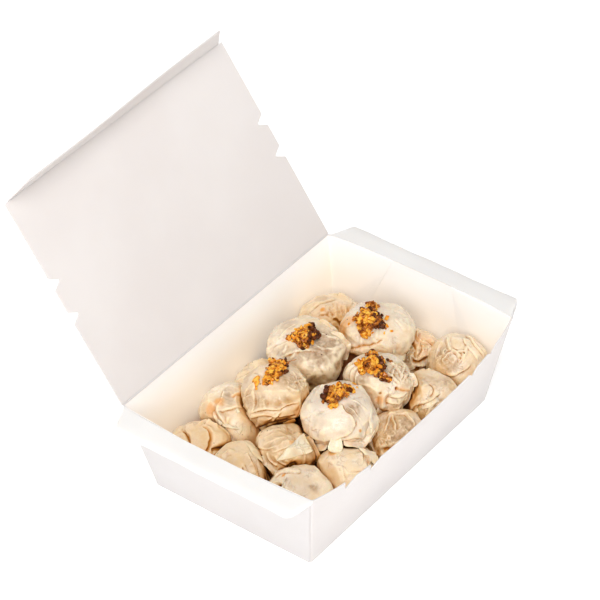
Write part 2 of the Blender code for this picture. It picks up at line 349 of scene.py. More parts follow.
# a whiter copy of the white card: painted light for the rims' brightly lit tops
rim_card_painted_light = white_card("rim_card_painted_light", (0.825, 0.81, 0.795), (0.85, 0.84, 0.825), 0.38)
tube_top, tube_deep, tube_steps = height + 0.05 * mm, 5 * mm, 90
# the tube's section: shares of its width outwards and of its depth downwards
tube_profile = ((0, 0), (0.3, 0), (0.62, -0.004), (0.93, -0.012), (0.98, -0.06), (1, -0.2), (0.99, -0.62),
                (0.955, -0.82), (0.88, -0.92), (0.6, -0.97))


def end_rim(side, front_reach, back_reach, corner):
    """A folded rim; corner is how far from each end it starts to narrow."""
    node, way = f"end_rim_{side}", 1 if side == "right" else -1
    rim_low, rim_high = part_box(node)
    far = max(abs(rim_low.x), abs(rim_high.x)) - 0.5 * mm
    points, rows = [], []
    for i in range(tube_steps + 1):
        along = -1 + 2 * i / tube_steps
        wall_y = along * (rim_back if along > 0 else rim_front)
        outer_y = along * (back_reach if along > 0 else front_reach)
        from_end = (1 - abs(along)) * rim_front
        full = sqrt(max(0.0, 1 - max(0.0, 1 - from_end / corner) ** 2))
        bulge = end_bulge * (1 - along ** 4)
        near = rim_x + bulge - card_thick - 0.05 * mm
        low_near = rim_x - (rim_x - base_x) * (tube_deep + 0.6 * mm) / height + bulge * 0.87 + 0.6 * mm
        width = (far - near) * (0.35 + 0.65 * full)
        drop = tube_deep * (0.3 + 0.7 * full)
        ripple = 0.18 * mm * sin(7 * along + 2) + 0.1 * mm * sin(19 * along)
        row = [Vector((way * (near + (width + ripple) * out), wall_y + (outer_y - wall_y) * out,
                       tube_top + down * drop - 0.25 * mm * out)) for out, down in tube_profile]
        low_x = low_near + (near - low_near) * (1 - drop / tube_deep)
        row.append(Vector((way * low_x, wall_y, tube_top - drop)))
        add_row(points, rows, row)
    faces = skin_faces(rows) + [rows[0][::-1], rows[-1]]
    if way > 0:
        faces = flipped(faces)
    add_piece(f"folded_rim_{side}", points, faces, rim_card_painted_light, "tray", [node], sharp=60)


end_rim("left", 57 * mm, 55.5 * mm, 6 * mm)
end_rim("right", 53.8 * mm, 54.5 * mm, 3 * mm)


# ---------------------------------------------------------------- lid and tuck flap
# The lid is the same sheet of card as the tray, creased along the back rim. Its front edge is
# creased again and folded in, and that flap tucks behind the front wall when the box is shut.

hinge = Vector((0, rim_back, 55 * mm))
lid_depth, lid_fold, lid_open = 118.2 * mm, 117.4 * mm, 125
lid_nicks, nick_half, nick_depth = (51 * mm, 70.3 * mm), 3.4 * mm, 5.5 * mm
flap_deep, flap_root, flap_tip, flap_open = 16 * mm, 82.5 * mm, 76 * mm, 60
edge_from = 0.88                # a plate's outline is cut into only past this share of its half width
crease_thick = 0.42 * mm
lid_turn = Matrix.Translation(hinge) @ Matrix.Rotation(-radians(lid_open), 4, "X")


def plate(name, rows_at, half_at, bow, turn, body, columns=44):
    """A card plate built as it lies when shut: rows run from its root towards -Y."""
    points, rows = [], []
    for side in (0, 1):
        for y in rows_at:
            half, full = half_at(y)
            row = []
            for i in range(columns + 1):
                u = -1 + 2 * i / columns
                x = u * full
                if abs(u) > edge_from:
                    past = (abs(u) - edge_from) / (1 - edge_from)
                    x = (edge_from * full + past * (half - edge_from * full)) * (1 if u > 0 else -1)
                row.append(turn @ Vector((x, y, side * card_thick + bow(u, y))))
            add_row(points, rows, row)
    faces = sheet_faces(rows[:len(rows_at)], rows[len(rows_at):])
    add_piece(name, points, faces, card, body, [body])


def lid_half(y):
    """Half width of the lid at a distance from the hinge, with the two nicks in each short edge."""
    half = rim_x
    for middle in lid_nicks:
        half -= nick_depth * max(0, min(1, 1.12 * (1 - abs(-y - middle) / nick_half)))
    return half, rim_x


def lid_bow(u, y):
    """The lid is not quite flat: its middle stands out a little."""
    run = -y / lid_depth
    return 0.9 * mm * (1 - u * u) * sin(pi * run) + 0.25 * mm * sin(5 * u + 2 * run) * sin(pi * run)


nick_steps = (-1, -0.75, -0.5, -0.25, -0.11, 0.11, 0.25, 0.5, 0.75, 1)
lid_rows = [-0.1 * mm, -1.2 * mm, -2.5 * mm, *np.linspace(-4 * mm, -46 * mm, 16),
            *(-(middle + nick_half * step) for middle in lid_nicks for step in nick_steps),
            *np.linspace(-57 * mm, -65 * mm, 4), *np.linspace(-76 * mm, -(lid_fold - 1.5 * mm), 16),
            -(lid_fold - 0.3 * mm)]
plate("creased_lid", sorted(lid_rows, reverse=True), lid_half, lid_bow, lid_turn, "lid")

flap_turn = lid_turn @ Matrix.Translation((0, -lid_fold, 0)) @ Matrix.Rotation(radians(flap_open), 4, "X")


def flap_half(y):
    half = flap_root + (flap_tip - flap_root) * (-y / flap_deep)
    return half, half


def flap_bow(u, y):
    """The flap is twisted a little towards its free edge."""
    return (0.3 * sin(4 * u) - 1.7 * (1 - u)) * mm * (-y / flap_deep)


plate("folded_flap", list(np.linspace(-0.3 * mm, -flap_deep, 12)), flap_half, flap_bow, flap_turn, "tuck_flap")


def rod(name, middles, thicks, around, finish, body):
    """A thin rod along X through these middles, closed at both ends."""
    turns = [2 * pi * j / around for j in range(around)]
    points, rows = [], []
    for middle, thick in zip(middles, thicks):
        add_row(points, rows, [middle + Vector((0, cos(turn), sin(turn))) * thick for turn in turns])
    add_piece(name, points, skin_faces(rows) + [rows[0][::-1], rows[-1]], finish, body)


def crease(name, middle, half, body):
    """The rounded outside of a fold, which stays closed however far the fold is turned."""
    along = [i / 20 - 1 for i in range(41)]
    thicks = [crease_thick * (1 - 0.5 * max(0, abs(share) - 0.97) / 0.03) for share in along]
    rod(name, [middle + Vector((half * share, 0, 0)) for share in along], thicks, 12, card, body)


crease("hinge_crease", hinge + Vector((0, 0.05 * mm, -0.15 * mm)), 84.6 * mm, "tray")
crease("flap_crease", lid_turn @ Vector((0, -lid_fold, 0.3 * mm)), 82.3 * mm, "lid")


# ---------------------------------------------------------------- dumplings
# Each siu mai is a spoonful of minced meat in a thin square of egg dough, gathered and pleated
# by hand and steamed. The dough clings to the meat, turns half clear, and creases where it overlaps.

dough, wire, place = new_finish(
    "steamed_dough", IOR=1.42, Specular_IOR_Level=0.12, Subsurface_Weight=0.4, Subsurface_Scale=0.9 * mm,
    Subsurface_Radius=(1.0, 0.6, 0.35), Coat_Roughness=0.1, Coat_IOR=1.4)
# each point of a dumpling carries how proud it stands, how much meat and oil shows through, how
# shut in it is between its neighbours, which sets the shade painted into its colour, and how white
# its dough is
relief, filling, oil, gap_shade, white = (
    wire.node("Attribute", {"attribute_name": name}, None, give=2)
    for name in ("relief", "filling", "oil", "gap_shade", "white"))
mottle = wire.noise(place, 130, detail=4, roughness=0.6)
lumps = wire.noise(place, 420, detail=3, roughness=0.55)
grain = wire.noise(place, 1900, detail=3, roughness=0.6)
cloud = wire.noise(place, 60, detail=3, roughness=0.6, distortion=0.8)
pale = mottle.between(0.3, 0.7).mix((0.81, 0.63, 0.40), (0.885, 0.79, 0.66))
pale = (cloud.between(0.52, 0.75) * 0.55).mix(pale, (0.66, 0.52, 0.42))
pale = white.mix(pale, (0.865, 0.80, 0.70))
meat_tone = lumps.between(0.35, 0.7).mix((0.32, 0.20, 0.11), (0.60, 0.43, 0.295))
skin = (filling * (0.65 + 0.5 * mottle)).clamp().mix(pale, meat_tone)
# proud ridges are painted pale cream: partly the thicker folded dough, partly painted light on the ridges
skin = (relief.between(0.55, 0.95) * 0.8).mix(skin, (0.94, 0.82, 0.60))
skin = (grain.between(0.45, 0.7) * 0.3).mix(skin, (0.70, 0.48, 0.28))
# painted shade: dough closed in between the dumplings and turned down is painted tan, then orange-brown, then
# almost black
painted_shade = (gap_shade * (0.75 + 0.5 * mottle)).clamp()
skin = (painted_shade * 0.9).clamp().mix(skin, (0.77, 0.45, 0.14))
skin = (gap_shade.between(0.6, 0.95) * (0.6 + 0.5 * lumps)).mix(skin, (0.52, 0.19, 0.025))
skin = gap_shade.between(0.78, 1.15).mix(skin, (0.10, 0.028, 0.006))
# painted shade in the creases: low places are painted brown
skin = ((((0.5 - relief) * 2).clamp() ** 1.6) * 0.95).clamp().mix(skin, (0.46, 0.175, 0.025))
wander = wire.noise(place, 170, detail=2, roughness=0.5, distortion=0.9) - 0.5
fine_creases = (1 - wander * wander * 900).clamp() * mottle.between(0.48, 0.62)
# painted shade along the fine crease lines, which are also bumped
skin = (fine_creases * 0.3).mix(skin, (0.56, 0.32, 0.12))
skin = oil.mix(skin, (0.80, 0.34, 0.05))
pepper = wire.node("TexVoronoi", {"feature": "F1"}, {"Vector": place, "Scale": 260, "Randomness": 1.0})
peppered = (1 - pepper.between(0.10, 0.16)) * wire.noise(place, 90, detail=1).between(0.60, 0.66) * 0.75
skin = peppered.mix(skin, (0.12, 0.06, 0.03))
wear(
    dough,
    Base_Color=skin,
    Roughness=0.34 + 0.25 * mottle,
    Coat_Weight=(0.3 + 0.7 * lumps.between(0.4, 0.65)) * (1 - gap_shade.between(0.4, 0.9)),
    Normal=wire.node("Bump", None, {"Strength": 0.9, "Distance": 0.4 * mm,
                                    "Height": lumps * 0.8 + grain * 0.35 - fine_creases * 0.8}),
)


def blank_ball(cuts):
    """A ball of evenly spread points, denser towards the top, that each dumpling is shaped from."""
    sheet = np.linspace(-1, 1, cuts + 1)
    points, faces, seen = [], [], {}

    def number(spot):
        key = tuple(round(value * 1e4) for value in spot)
        if key not in seen:
            seen[key] = len(points)
            points.append(spot)
        return seen[key]

    for axis in range(3):
        for side in (-1, 1):
            for i in range(cuts):
                for j in range(cuts):
                    quad = []
                    for u, v in ((i, j), (i + 1, j), (i + 1, j + 1), (i, j + 1)):
                        spot = [0, 0, 0]
                        spot[axis] = side
                        spot[(axis + 1) % 3] = sheet[u] * side
                        spot[(axis + 2) % 3] = sheet[v]
                        quad.append(number(tuple(spot)))
                    faces.append(quad)
    ways = np.tan(np.array(points) * pi / 4)
    ways /= np.linalg.norm(ways, axis=1)[:, None]
    ways += (0, 0, 0.35)
    return ways / np.linalg.norm(ways, axis=1)[:, None], faces


fine_ball, plain_ball = blank_ball(56), blank_ball(24)
lattice = np.random.default_rng(7).random((32, 32, 32))


def rumple(spots, size, seed=0):
    """Smooth random values from 0 to 1 at points in mm, varying over about the given size."""
    spots = spots / size + np.array((13.7, 5.3, 27.9)) * (seed + 1)
    cell = np.floor(spots).astype(int)
    part = spots - cell
    part = part * part * (3 - 2 * part)
    total = 0
    for corner in range(8):
        step = np.array((corner & 1, corner >> 1 & 1, corner >> 2))
        at = (cell + step) % 32
        weight = np.prod(np.where(step, part, 1 - part), axis=1)
        total = total + lattice[at[:, 0], at[:, 1], at[:, 2]] * weight
    return total


def way_to(tilt, heading):
    """Direction from a dumpling's centre: degrees down from the top, and compass heading from +X."""
    tilt, heading = radians(tilt), radians(heading)
    return np.array((sin(tilt) * cos(heading), sin(tilt) * sin(heading), cos(tilt)))


def line_over(spots, steps=7):
    """A smooth line over a ball through a few (tilt, heading) spots."""
    ways = [way_to(*spot) for spot in spots]
    ways = [2 * ways[0] - ways[1]] + ways + [2 * ways[-1] - ways[-2]]
    line = []
    for a, b, c, d in zip(ways, ways[1:], ways[2:], ways[3:]):
        for t in np.arange(steps) / steps:
            line.append(0.5 * (2 * b + (c - a) * t + (2 * a - 5 * b + 4 * c - d) * t * t
                               + (3 * b - a - 3 * c + d) * t ** 3))
    line.append(ways[-2])
    line = np.array(line)
    return line / np.linalg.norm(line, axis=1)[:, None]


def beside(ways, line):
    """How far each way is from a line (signed: left of its travel is above 0), and how far along."""
    nearest = np.full(len(ways), 9.0)
    side, along = np.zeros(len(ways)), np.zeros(len(ways))
    for i, (a, b) in enumerate(zip(line, line[1:])):
        step = b - a
        t = np.clip((ways - a) @ step / (step @ step), 0, 1)
        gap = np.linalg.norm(ways - a - t[:, None] * step, axis=1)
        closer = gap < nearest
        nearest[closer] = gap[closer]
        side[closer] = np.sign(ways[closer] @ np.cross(a, b))
        along[closer] = (i + t[closer]) / (len(line) - 1)
    return nearest, side, along


def ease(value):
    value = np.clip(value, 0, 1)
    return value * value * (3 - 2 * value)


def turn_about(ways, tilt, heading):
    """The angle of each way round a spot."""
    middle = way_to(tilt, heading)
    first = np.cross(middle, (0.3, 0.2, 1.0))
    first = first / np.linalg.norm(first)
    return np.arctan2(ways @ np.cross(middle, first), ways @ first)


def shape_dough(ways, radius, marks):
    """Works out marks of (kind, spot or line, how strong, how wide in mm) on a dumpling's skin.

    Along a line, a lap is dough folded over, a pinch a ridge, a valley a crease and a stain oil. At a
    spot, a swell is a bump, a crumple a star of creases, a fan the pleats round the side, and meat
    and oil show through. Gives the height added in mm, and how much filling, oil and painted shade
    shows, the shade being painted into holes and valleys.
    """
    rise, filling, oil, dark = np.zeros((4, len(ways)))
    size = float(np.mean(radius))
    for kind, spots, high, wide in marks:
        if kind in ("swell", "hole", "meat", "oil", "crumple", "fan"):
            tilt, heading = spots[:2]
            away = np.arccos(np.clip(ways @ way_to(tilt, heading), -1, 1)) * size
            if kind == "swell":
                rise += high * np.exp(-(away / wide) ** 2)
            elif kind == "hole":
                rise -= high * ease(1.5 - away / wide)
                # painted shade deep in the hole
                dark = np.maximum(dark, 0.55 * high * ease(1.35 - away / wide))
            elif kind == "meat":
                filling = np.maximum(filling, high * ease(1.4 - away / wide))
            elif kind == "oil":
                oil = np.maximum(oil, high * ease(1.5 - away / wide))
            elif kind == "crumple":
                # creases running outwards from the spot, each one fading in and out along its length
                turn = turn_about(ways, tilt, heading)
                rays = np.stack((2.6 * np.cos(turn), 2.6 * np.sin(turn), away / 3 + 0.37 * heading), axis=1)
                sharp = (1 - np.abs(2 * rumple(rays, 1, int(tilt)) - 1)) ** 5
                sharp = 0.7 * sharp + 0.5 * (1 - np.abs(2 * rumple(2.1 * rays, 1, int(tilt) + 3) - 1)) ** 5
                rise += high * sharp * ease(1.4 - away / wide) * ease(0.25 + away / 2.5)
            else:
                count, start = spots[2:]
                turn = turn_about(ways, tilt, heading)
                turn += 0.35 * np.sin(3 * turn + heading) + 0.05 * away
                saw = np.mod(turn * count / (2 * pi), 1)
                pleat = np.where(saw < 0.82, saw / 0.82, (1 - saw) / 0.18)
                rise += high * (pleat - 0.5) * ease((away - start) / 3) * ease((wide - away) / 9)
            continue
        nearest, side, along = beside(ways, line_over(spots))
        nearest = nearest * size
        fade = ease(along / 0.15) * ease((1 - along) / 0.15)
        if kind == "lap":
            step = nearest * side
            upper = high / (1 + np.exp(-np.clip(step / 0.16, -40, 40))) * np.exp(-np.maximum(step, 0) / wide)
            rise += (upper - 0.5 * high * np.exp(-nearest / 0.8) * (side < 0)) * fade
        elif kind == "pinch":
            foot = 0.3 * np.exp(-((nearest - 2.2 * wide) / wide) ** 2)
            rise += high * (np.exp(-(nearest / wide) ** 1.4) - foot) * fade
        elif kind == "valley":
            rise -= high * np.exp(-(nearest / wide) ** 2) * fade
            # painted shade along the crease
            dark = np.maximum(dark, (0.45 * high - 0.25) * np.exp(-(nearest / (0.8 * wide)) ** 2) * fade)
        elif kind == "stain":
            oil = np.maximum(oil, high * np.exp(-(nearest / wide) ** 2) * fade)
    return rise, filling, oil, dark


def grid_faces(rows, columns):
    """Faces of a thin sheet whose upper points come first, row by row, and then its lower ones."""
    top = [[i * columns + j for j in range(columns)] for i in range(rows)]
    return sheet_faces(top, [[rows * columns + number for number in row] for row in top])


def frill(surface, spots, width, waves, out, side, seed):
    """A thin free edge of dough along a line: gives its points and faces, in mm from the centre."""
    line = line_over(spots, 12)
    steps, across = len(line), 8
    roots = np.pad([surface(way) for way in line], 6, mode="edge")
    roots = np.convolve(roots, np.ones(13) / 13, mode="valid")
    tops, unders = [], []
    for i, way in enumerate(line):
        ahead = line[min(i + 1, steps - 1)] - line[max(i - 1, 0)]
        ahead /= np.linalg.norm(ahead)
        left = np.cross(way, ahead)
        rise = way * out + left * side
        rise /= np.linalg.norm(rise)
        flat = np.cross(rise, ahead)
        share = i / (steps - 1)
        round_ends = sqrt(max(0.0, 1 - abs(2 * share - 1) ** (3 if waves < 1 else 5)))
        full = width * (0.15 + 0.85 * round_ends) * (0.9 + 0.12 * sin(5.1 * share * waves + seed))
        root = way * (roots[i] - 0.9)
        for j in range(across):
            u = j / (across - 1)
            wave = sin(2 * pi * waves * share + seed) + 0.25 * sin(4.7 * pi * waves * share + 2 * seed)
            middle = root + rise * (full + 0.9) * u + (flat * 0.24 * u + ahead * 0.1) * full * u * wave
            # the dough thins to its cut edge and curls a little towards the dumpling
            middle = middle - way * 0.16 * full * u ** 3
            thick = 0.29 - 0.17 * u
            tops.append(middle + flat * thick)
            unders.append(middle - flat * thick)
    return np.array(tops + unders), grid_faces(steps, across)


def flat_sheet(surface, corners, bulge, seed):
    """A corner of wrapper folded flat over a dumpling; corners are (tilt, heading, mm above the skin)."""
    ways = [way_to(tilt, heading) for tilt, heading, _ in corners]
    a, b, c, d = (way * (surface(way) + lift) for way, (_, _, lift) in zip(ways, corners))
    out = np.cross(b - a, d - a)
    out *= np.sign(out @ (a + b + c + d)) / np.linalg.norm(out)
    cuts, tops, unders = 16, [], []
    for j in range(cuts + 1):
        for i in range(cuts + 1):
            u, v = i / cuts, j / cuts
            spot = (a * (1 - u) + b * u) * (1 - v) + (d * (1 - u) + c * u) * v
            inner = 4 * u * (1 - u) * 4 * v * (1 - v)
            spot = spot + out * bulge * sqrt(inner)
            spot = spot + out * 0.9 * (rumple(spot[None, :], 3.5, seed)[0] - 0.5)
            thick = 0.12 + 0.16 * min(1, 3 * inner)
            tops.append(spot + out * thick)
            unders.append(spot - out * thick)
    faces = grid_faces(cuts + 1, cuts + 1)
    return np.array(tops + unders), flipped(faces) if np.cross(b - a, d - a) @ out < 0 else faces


def smoothed(mesh, rounds):
    """Places of a mesh's points after smoothing, without changing the mesh."""
    count = len(mesh.vertices)
    ends = np.zeros(2 * len(mesh.edges), int)
    mesh.edges.foreach_get("vertices", ends)
    one, other = ends[::2], ends[1::2]
    spots = np.zeros(3 * count)
    mesh.vertices.foreach_get("co", spots)
    spots = spots.reshape(-1, 3)
    shares = np.bincount(one, minlength=count) + np.bincount(other, minlength=count)
    for _ in range(rounds):
        total = np.stack([np.bincount(one, spots[other, k], count) + np.bincount(other, spots[one, k], count)
                          for k in range(3)], axis=1)
        spots = total / shares[:, None]
    return spots


def keep_in_tray(spots):
    """Moves points in metres that would reach through the walls or the floor back inside them."""
    x, y, z = spots.T
    z = np.maximum(z, card_thick + 0.15 * mm)
    rise = np.clip(z / height, 0, 1)
    half_x = base_x + (rim_x - base_x) * rise
    along = np.clip(np.abs(x) / half_x, 0, 1)
    front = base_y + (rim_front - base_y) * rise + front_bulge * (1 - along ** 3) * rise ** 1.5 - 1.0 * mm
    back = base_y + (rim_back - base_y) * rise - 1.0 * mm
    y = np.clip(y, -front, back)
    end = half_x + end_bulge * (1 - np.clip(np.abs(y) / rim_front, 0, 1) ** 4) * rise ** 1.5 - 1.3 * mm
    return np.stack((np.clip(x, -end, end), y, z), axis=1)


def loose_folds(seed):
    """Nine small folds and creases that run down a dumpling's sides, no two alike."""
    luck, folds = np.random.default_rng(seed + 500), []
    for _ in range(9):
        tilt, heading, drift = 25 + 45 * luck.random(), 360 * luck.random(), luck.normal() * 14
        long = 22 + 26 * luck.random()
        line = [(tilt + long * part, heading + drift * part * (1 + part)) for part in (0, 0.5, 1)]
        if luck.random() < 0.5:
            line = line[::-1]
        if luck.random() < 0.6:
            folds.append(("lap", line, 0.35 + 0.35 * luck.random(), 2 + 3 * luck.random()))
        else:
            folds.append(("pinch", line, 0.3 + 0.3 * luck.random(), 0.4 + 0.2 * luck.random()))
    return folds


heap = [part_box(f"siu_mai_{number:02d}") for number in range(1, 21)]
heap_middles = np.array([(low + high) / 2 / mm for low, high in heap])
heap_sizes = np.array([(high - low).length / mm / (2 * sqrt(3)) for low, high in heap])


def buried(number, places, normals):
    """How closed in by its neighbours, and how turned down, each point of a dumpling is: the amount of painted
    shade its dough gets.
    """
    closed = 0.3 * np.clip(0.1 - normals[:, 2], 0, 1)
    for other, (middle, size) in enumerate(zip(heap_middles, heap_sizes), 1):
        if other != number:
            to = middle - places
            gap = np.linalg.norm(to, axis=1)
            facing = np.clip((to * normals).sum(1) / gap + 0.15, 0, 1)
            closed = closed + 0.78 * facing * np.clip(size / gap, 0, 1) ** 3
    return closed


def pressed(node, starts, faces, rounds=0):
    """Points of a blank once it is pressed onto the solid of one node and smoothed, in metres."""
    blank = bpy.data.meshes.new("blank")
    blank.from_pydata([tuple(start) for start in starts], [], faces)
    holder = bpy.data.objects.new("blank", blank)
    bpy.context.scene.collection.objects.link(holder)
    wrap = holder.modifiers.new("wrap", "SHRINKWRAP")
    wrap.target, wrap.wrap_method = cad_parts[node], "PROJECT"
    wrap.use_negative_direction = wrap.use_positive_direction = True
    if rounds:
        even = holder.modifiers.new("even", "SMOOTH")
        even.iterations, even.factor = rounds, 0.7
    wrapped = holder.evaluated_get(bpy.context.evaluated_depsgraph_get()).to_mesh()
    spots = np.zeros(3 * len(starts))
    wrapped.vertices.foreach_get("co", spots)
    holder.to_mesh_clear()
    bpy.data.objects.remove(holder)
    return spots.reshape(-1, 3)


flat_panels, panel_reach = 14, 0.93
skins = {}                      # each dumpling's middle in mm, and its surface
side_pleats = ("fan", (170, 0, 13, 6), 0.9, 34)


# extra_shade raises or lowers a dumpling's painted shade
def siu_mai(number, marks, frills=(), sheets=(), crinkle=0.2, filled=0.5, extra_shade=0.0, whiter=0.0,
            ball=fine_ball):
    """One dumpling. Frills are (line, width, waves, outwards, sideways, oil) and sheets (corners, bulge)."""
    node, seed = f"siu_mai_{number:02d}", 10 * number
    low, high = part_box(node)
    middle = (low + high) / 2
    ways, faces = ball
    spots = pressed(node, [middle + Vector(way) * 30 * mm for way in ways], faces, rounds=30)
    spots = (spots - np.array(middle)) / mm
    radius = np.linalg.norm(spots, axis=1)
    ways = spots / radius[:, None]
    # loose waves bend every line, so that no fold runs straight
    shift = np.stack([rumple(spots, 7, seed + k) for k in range(3)], axis=1) - 0.5
    fine_shift = np.stack([rumple(spots, 2.6, seed + k) for k in range(3, 6)], axis=1) - 0.5
    bent = spots + 1.9 * shift + 0.9 * fine_shift
    bent /= np.linalg.norm(bent, axis=1)[:, None]
    rise, filling, oil, dark = shape_dough(bent, radius, marks + [side_pleats] + loose_folds(seed))
    # the dough lies in flat panels between its folds, a little inside the pressed outline
    for facing in np.random.default_rng(seed).normal(size=(flat_panels, 3)):
        facing /= np.linalg.norm(facing)
        beyond = spots @ facing - panel_reach * (spots @ facing).max()
        rise -= 0.75 * np.maximum(beyond, 0) / np.maximum(ways @ facing, 0.3)
    rise += 0.9 * (rumple(spots, 11, seed + 7) - 0.5) + 0.65 * (rumple(spots, 4.5, seed + 8) - 0.5)
    creases = 1 - np.abs(2 * rumple(bent * 20 * np.array((1, 1, 0.6)), 4.2, seed + 9) - 1)
    small = 1 - np.abs(2 * rumple(bent * 20, 1.9, seed + 10) - 1)
    slack = ease((rumple(spots, 9, seed + 11) - 0.3) * 2.5)
    rise += crinkle * slack * (creases ** 5 * 1.3 + small ** 5 * 0.7)
    filling = np.clip(filling + filled * ease((rumple(spots, 8, seed + 12) - 0.5) * 4), 0, 1)
    # the mince is felt as small lumps wherever the dough is drawn tight over it
    rise += (0.15 + 0.55 * filling) * (rumple(spots, 2.3, seed + 13) - 0.5)
    full = radius + rise
    spots = ways * full[:, None]
    finder = KDTree(len(ways))
    for i, way in enumerate(ways):
        finder.insert(way, i)
    finder.balance()

    def surface(way):
        return full[finder.find(way)[1]]

    skins[number] = (np.array(middle) / mm, surface)
    layers = [(spots, faces, filling, oil, dark, whiter)]
    for k, (line, width, waves, out, side, *stained) in enumerate(frills):
        edge, edge_faces = frill(surface, line, width, waves, out, side, seed + k)
        stain = stained[0] if stained else 0.06
        oily = stain + (0.15 + stain) * ease(3 * rumple(edge, 2.5, seed + k) - 1.4)
        layers.append((edge, edge_faces, 0.0, oily, -0.05, whiter))
    for corners, bulge in sheets:
        edge, edge_faces = flat_sheet(surface, corners, bulge, seed)
        oily = 0.16 * ease(3 * rumple(edge, 4, seed + 1) - 1.3)
        layers.append((edge, edge_faces, 0.35 * rumple(edge, 5, seed), oily, -0.05, min(1, whiter + 0.5)))
    all_faces, base = [], 0
    for places, layer_faces, *_ in layers:
        all_faces += [tuple(base + n for n in face) for face in layer_faces]
        base += len(places)
    spots = np.concatenate([layer[0] for layer in layers])
    filling, oil, dark, white = (
        np.concatenate([np.broadcast_to(layer[k], len(layer[0])) for layer in layers]) for k in (2, 3, 4, 5))
    places = keep_in_tray(spots * mm + np.array(middle))
    mesh = add_piece(f"pleated_{node}", places, all_faces, dough, "tray", [node], sharp=180).data
    normals = np.zeros(3 * len(spots))
    mesh.vertices.foreach_get("normal", normals)
    stands = np.zeros(len(spots))
    normals = normals.reshape(-1, 3)
    for rounds, scale in ((3, 0.45), (12, 0.9), (45, 2.0)):
        stands += ((places - smoothed(mesh, rounds)) / mm * normals).sum(1) / scale
    # gap_shade paints shade into the dough's colour where it is shut in, turned down, or in a hole or valley
    looks = {"relief": np.clip(0.5 + 0.5 * stands, 0, 1), "filling": filling, "oil": oil, "white": white,
             "gap_shade": np.clip(buried(number, places / mm, normals) + extra_shade + dark, 0, 1.5)}
    for name, values in looks.items():
        mesh.attributes.new(name, "FLOAT", "POINT").data.foreach_set("value", values)


# a big smooth one with a fold down its right, a hanging tongue and a ruffle under its dome
siu_mai(1, [
    ("lap", [(70, 252), (55, 252), (38, 248), (18, 240)], 1.0, 7),
    ("meat", (42, 266), 0.8, 4.5),
    ("valley", [(62, 266), (46, 270), (30, 280)], 0.35, 0.9),
    ("swell", (45, 70), 1.3, 1.6),
    ("lap", [(98, 140), (92, 178), (88, 204)], 1.0, 6),
    ("lap", [(86, 226), (84, 242), (92, 258), (90, 270)], 1.0, 5),
    ("hole", (92, 226), 1.8, 1.4),
    ("oil", (75, 256), 0.9, 0.8),
], [
    ([(80, 206), (83, 214), (80, 222)], 8.8, 0.3, 1, -0.42, 0.0),
    ([(86, 226), (92, 240), (97, 254), (92, 268), (83, 280)], 5.0, 1.8, 1, -0.2, 0.16),
    ([(76, 286), (90, 276), (108, 268)], 4.5, 1.0, 1, 0.5),
    ([(98, 150), (104, 170), (100, 198)], 5.0, 1.2, 1, -0.5, 0.2),
    ([(74, 278), (84, 270), (96, 262), (104, 250)], 4.2, 2.2, 1, 0.6, 0.1),
], [
    (((62, 300, 0.3), (66, 276, 1.6), (88, 268, 3.0), (86, 296, 1.4)), 0.8),
], crinkle=0.05, filled=0.3, whiter=0.6)
# a boxy one with a strip down its left, layered folds across its foot and a crumpled right side
siu_mai(2, [
    ("lap", [(88, 184), (64, 180), (46, 168), (32, 130)], 0.7, 5),
    ("valley", [(52, 90), (32, 110), (24, 150)], 0.5, 0.8),
    ("pinch", [(33, 330), (41, 302), (52, 286)], 0.7, 0.5),
    ("pinch", [(45, 326), (54, 307), (63, 294)], 0.7, 0.5),
    ("pinch", [(37, 258), (48, 266), (55, 274)], 0.6, 0.5),
    ("pinch", [(38, 286), (49, 300), (64, 325)], 0.6, 0.5),
    ("pinch", [(44, 187), (42, 223), (47, 258)], 0.6, 1.2),
    ("lap", [(86, 176), (74, 198), (69, 220), (66, 244), (68, 264)], 1.2, 4),
    ("valley", [(62, 200), (60, 231), (64, 261)], 1.0, 2.2),
    ("lap", [(106, 166), (85, 199), (84, 228), (86, 260)], 1.1, 4),
    ("lap", [(108, 190), (97, 215), (92, 245)], 0.9, 4),
    ("lap", [(100, 264), (77, 268), (61, 268)], 1.0, 4),
    ("meat", (40, 285), 0.75, 5.5),
    ("crumple", (44, 288), 0.5, 6),
    ("hole", (112, 258), 2.4, 4.5),
    ("meat", (62, 200), 0.5, 3.5),
    ("meat", (60, 222), 0.55, 3.5),
    ("meat", (62, 246), 0.5, 3.5),
], [
    ([(100, 232), (97, 242), (93, 251)], 3.6, 0.8, 0.7, -1, 0.15),
    ([(62, 274), (80, 267), (96, 258)], 2.2, 1.0, 0.8, -0.7, 0.15),
    ([(118, 172), (113, 198), (110, 226)], 4.0, 1.6, 0.5, -1),
], crinkle=0.12, extra_shade=0.2, whiter=0.25)
# smooth dough on its upper left, and thin dough over the meat on the right with a scalloped edge
siu_mai(3, [
    ("pinch", [(83, 140), (55, 150), (35, 128), (17, 66)], 0.5, 0.8),
    ("pinch", [(62, 177), (54, 180), (46, 176)], 0.6, 0.5),
    ("pinch", [(63, 192), (56, 200), (48, 205)], 0.6, 0.5),
    ("lap", [(68, 178), (56, 194), (51, 217), (54, 242)], 0.8, 4),
    ("meat", (71, 246), 1.0, 10),
    ("meat", (53, 268), 0.9, 7),
    ("meat", (88, 230), 0.5, 8),
    ("swell", (88, 240), 3.5, 13),
    ("swell", (90, 238), 3.4, 5),
    ("swell", (106, 272), 5.0, 10),
    ("lap", [(37, 350), (44, 320), (62, 310)], 1.1, 3),
], [
    ([(46, 296), (62, 292), (78, 290), (94, 284)], 3.6, 3.2, 1, 0.3),
    ([(36, 345), (42, 325), (52, 314)], 2.6, 1.2, 1, -0.2),
    ([(80, 306), (92, 298), (106, 290), (116, 280)], 3.4, 2.4, 1, 0.2, 0.1),
], crinkle=0.08, extra_shade=-0.2)
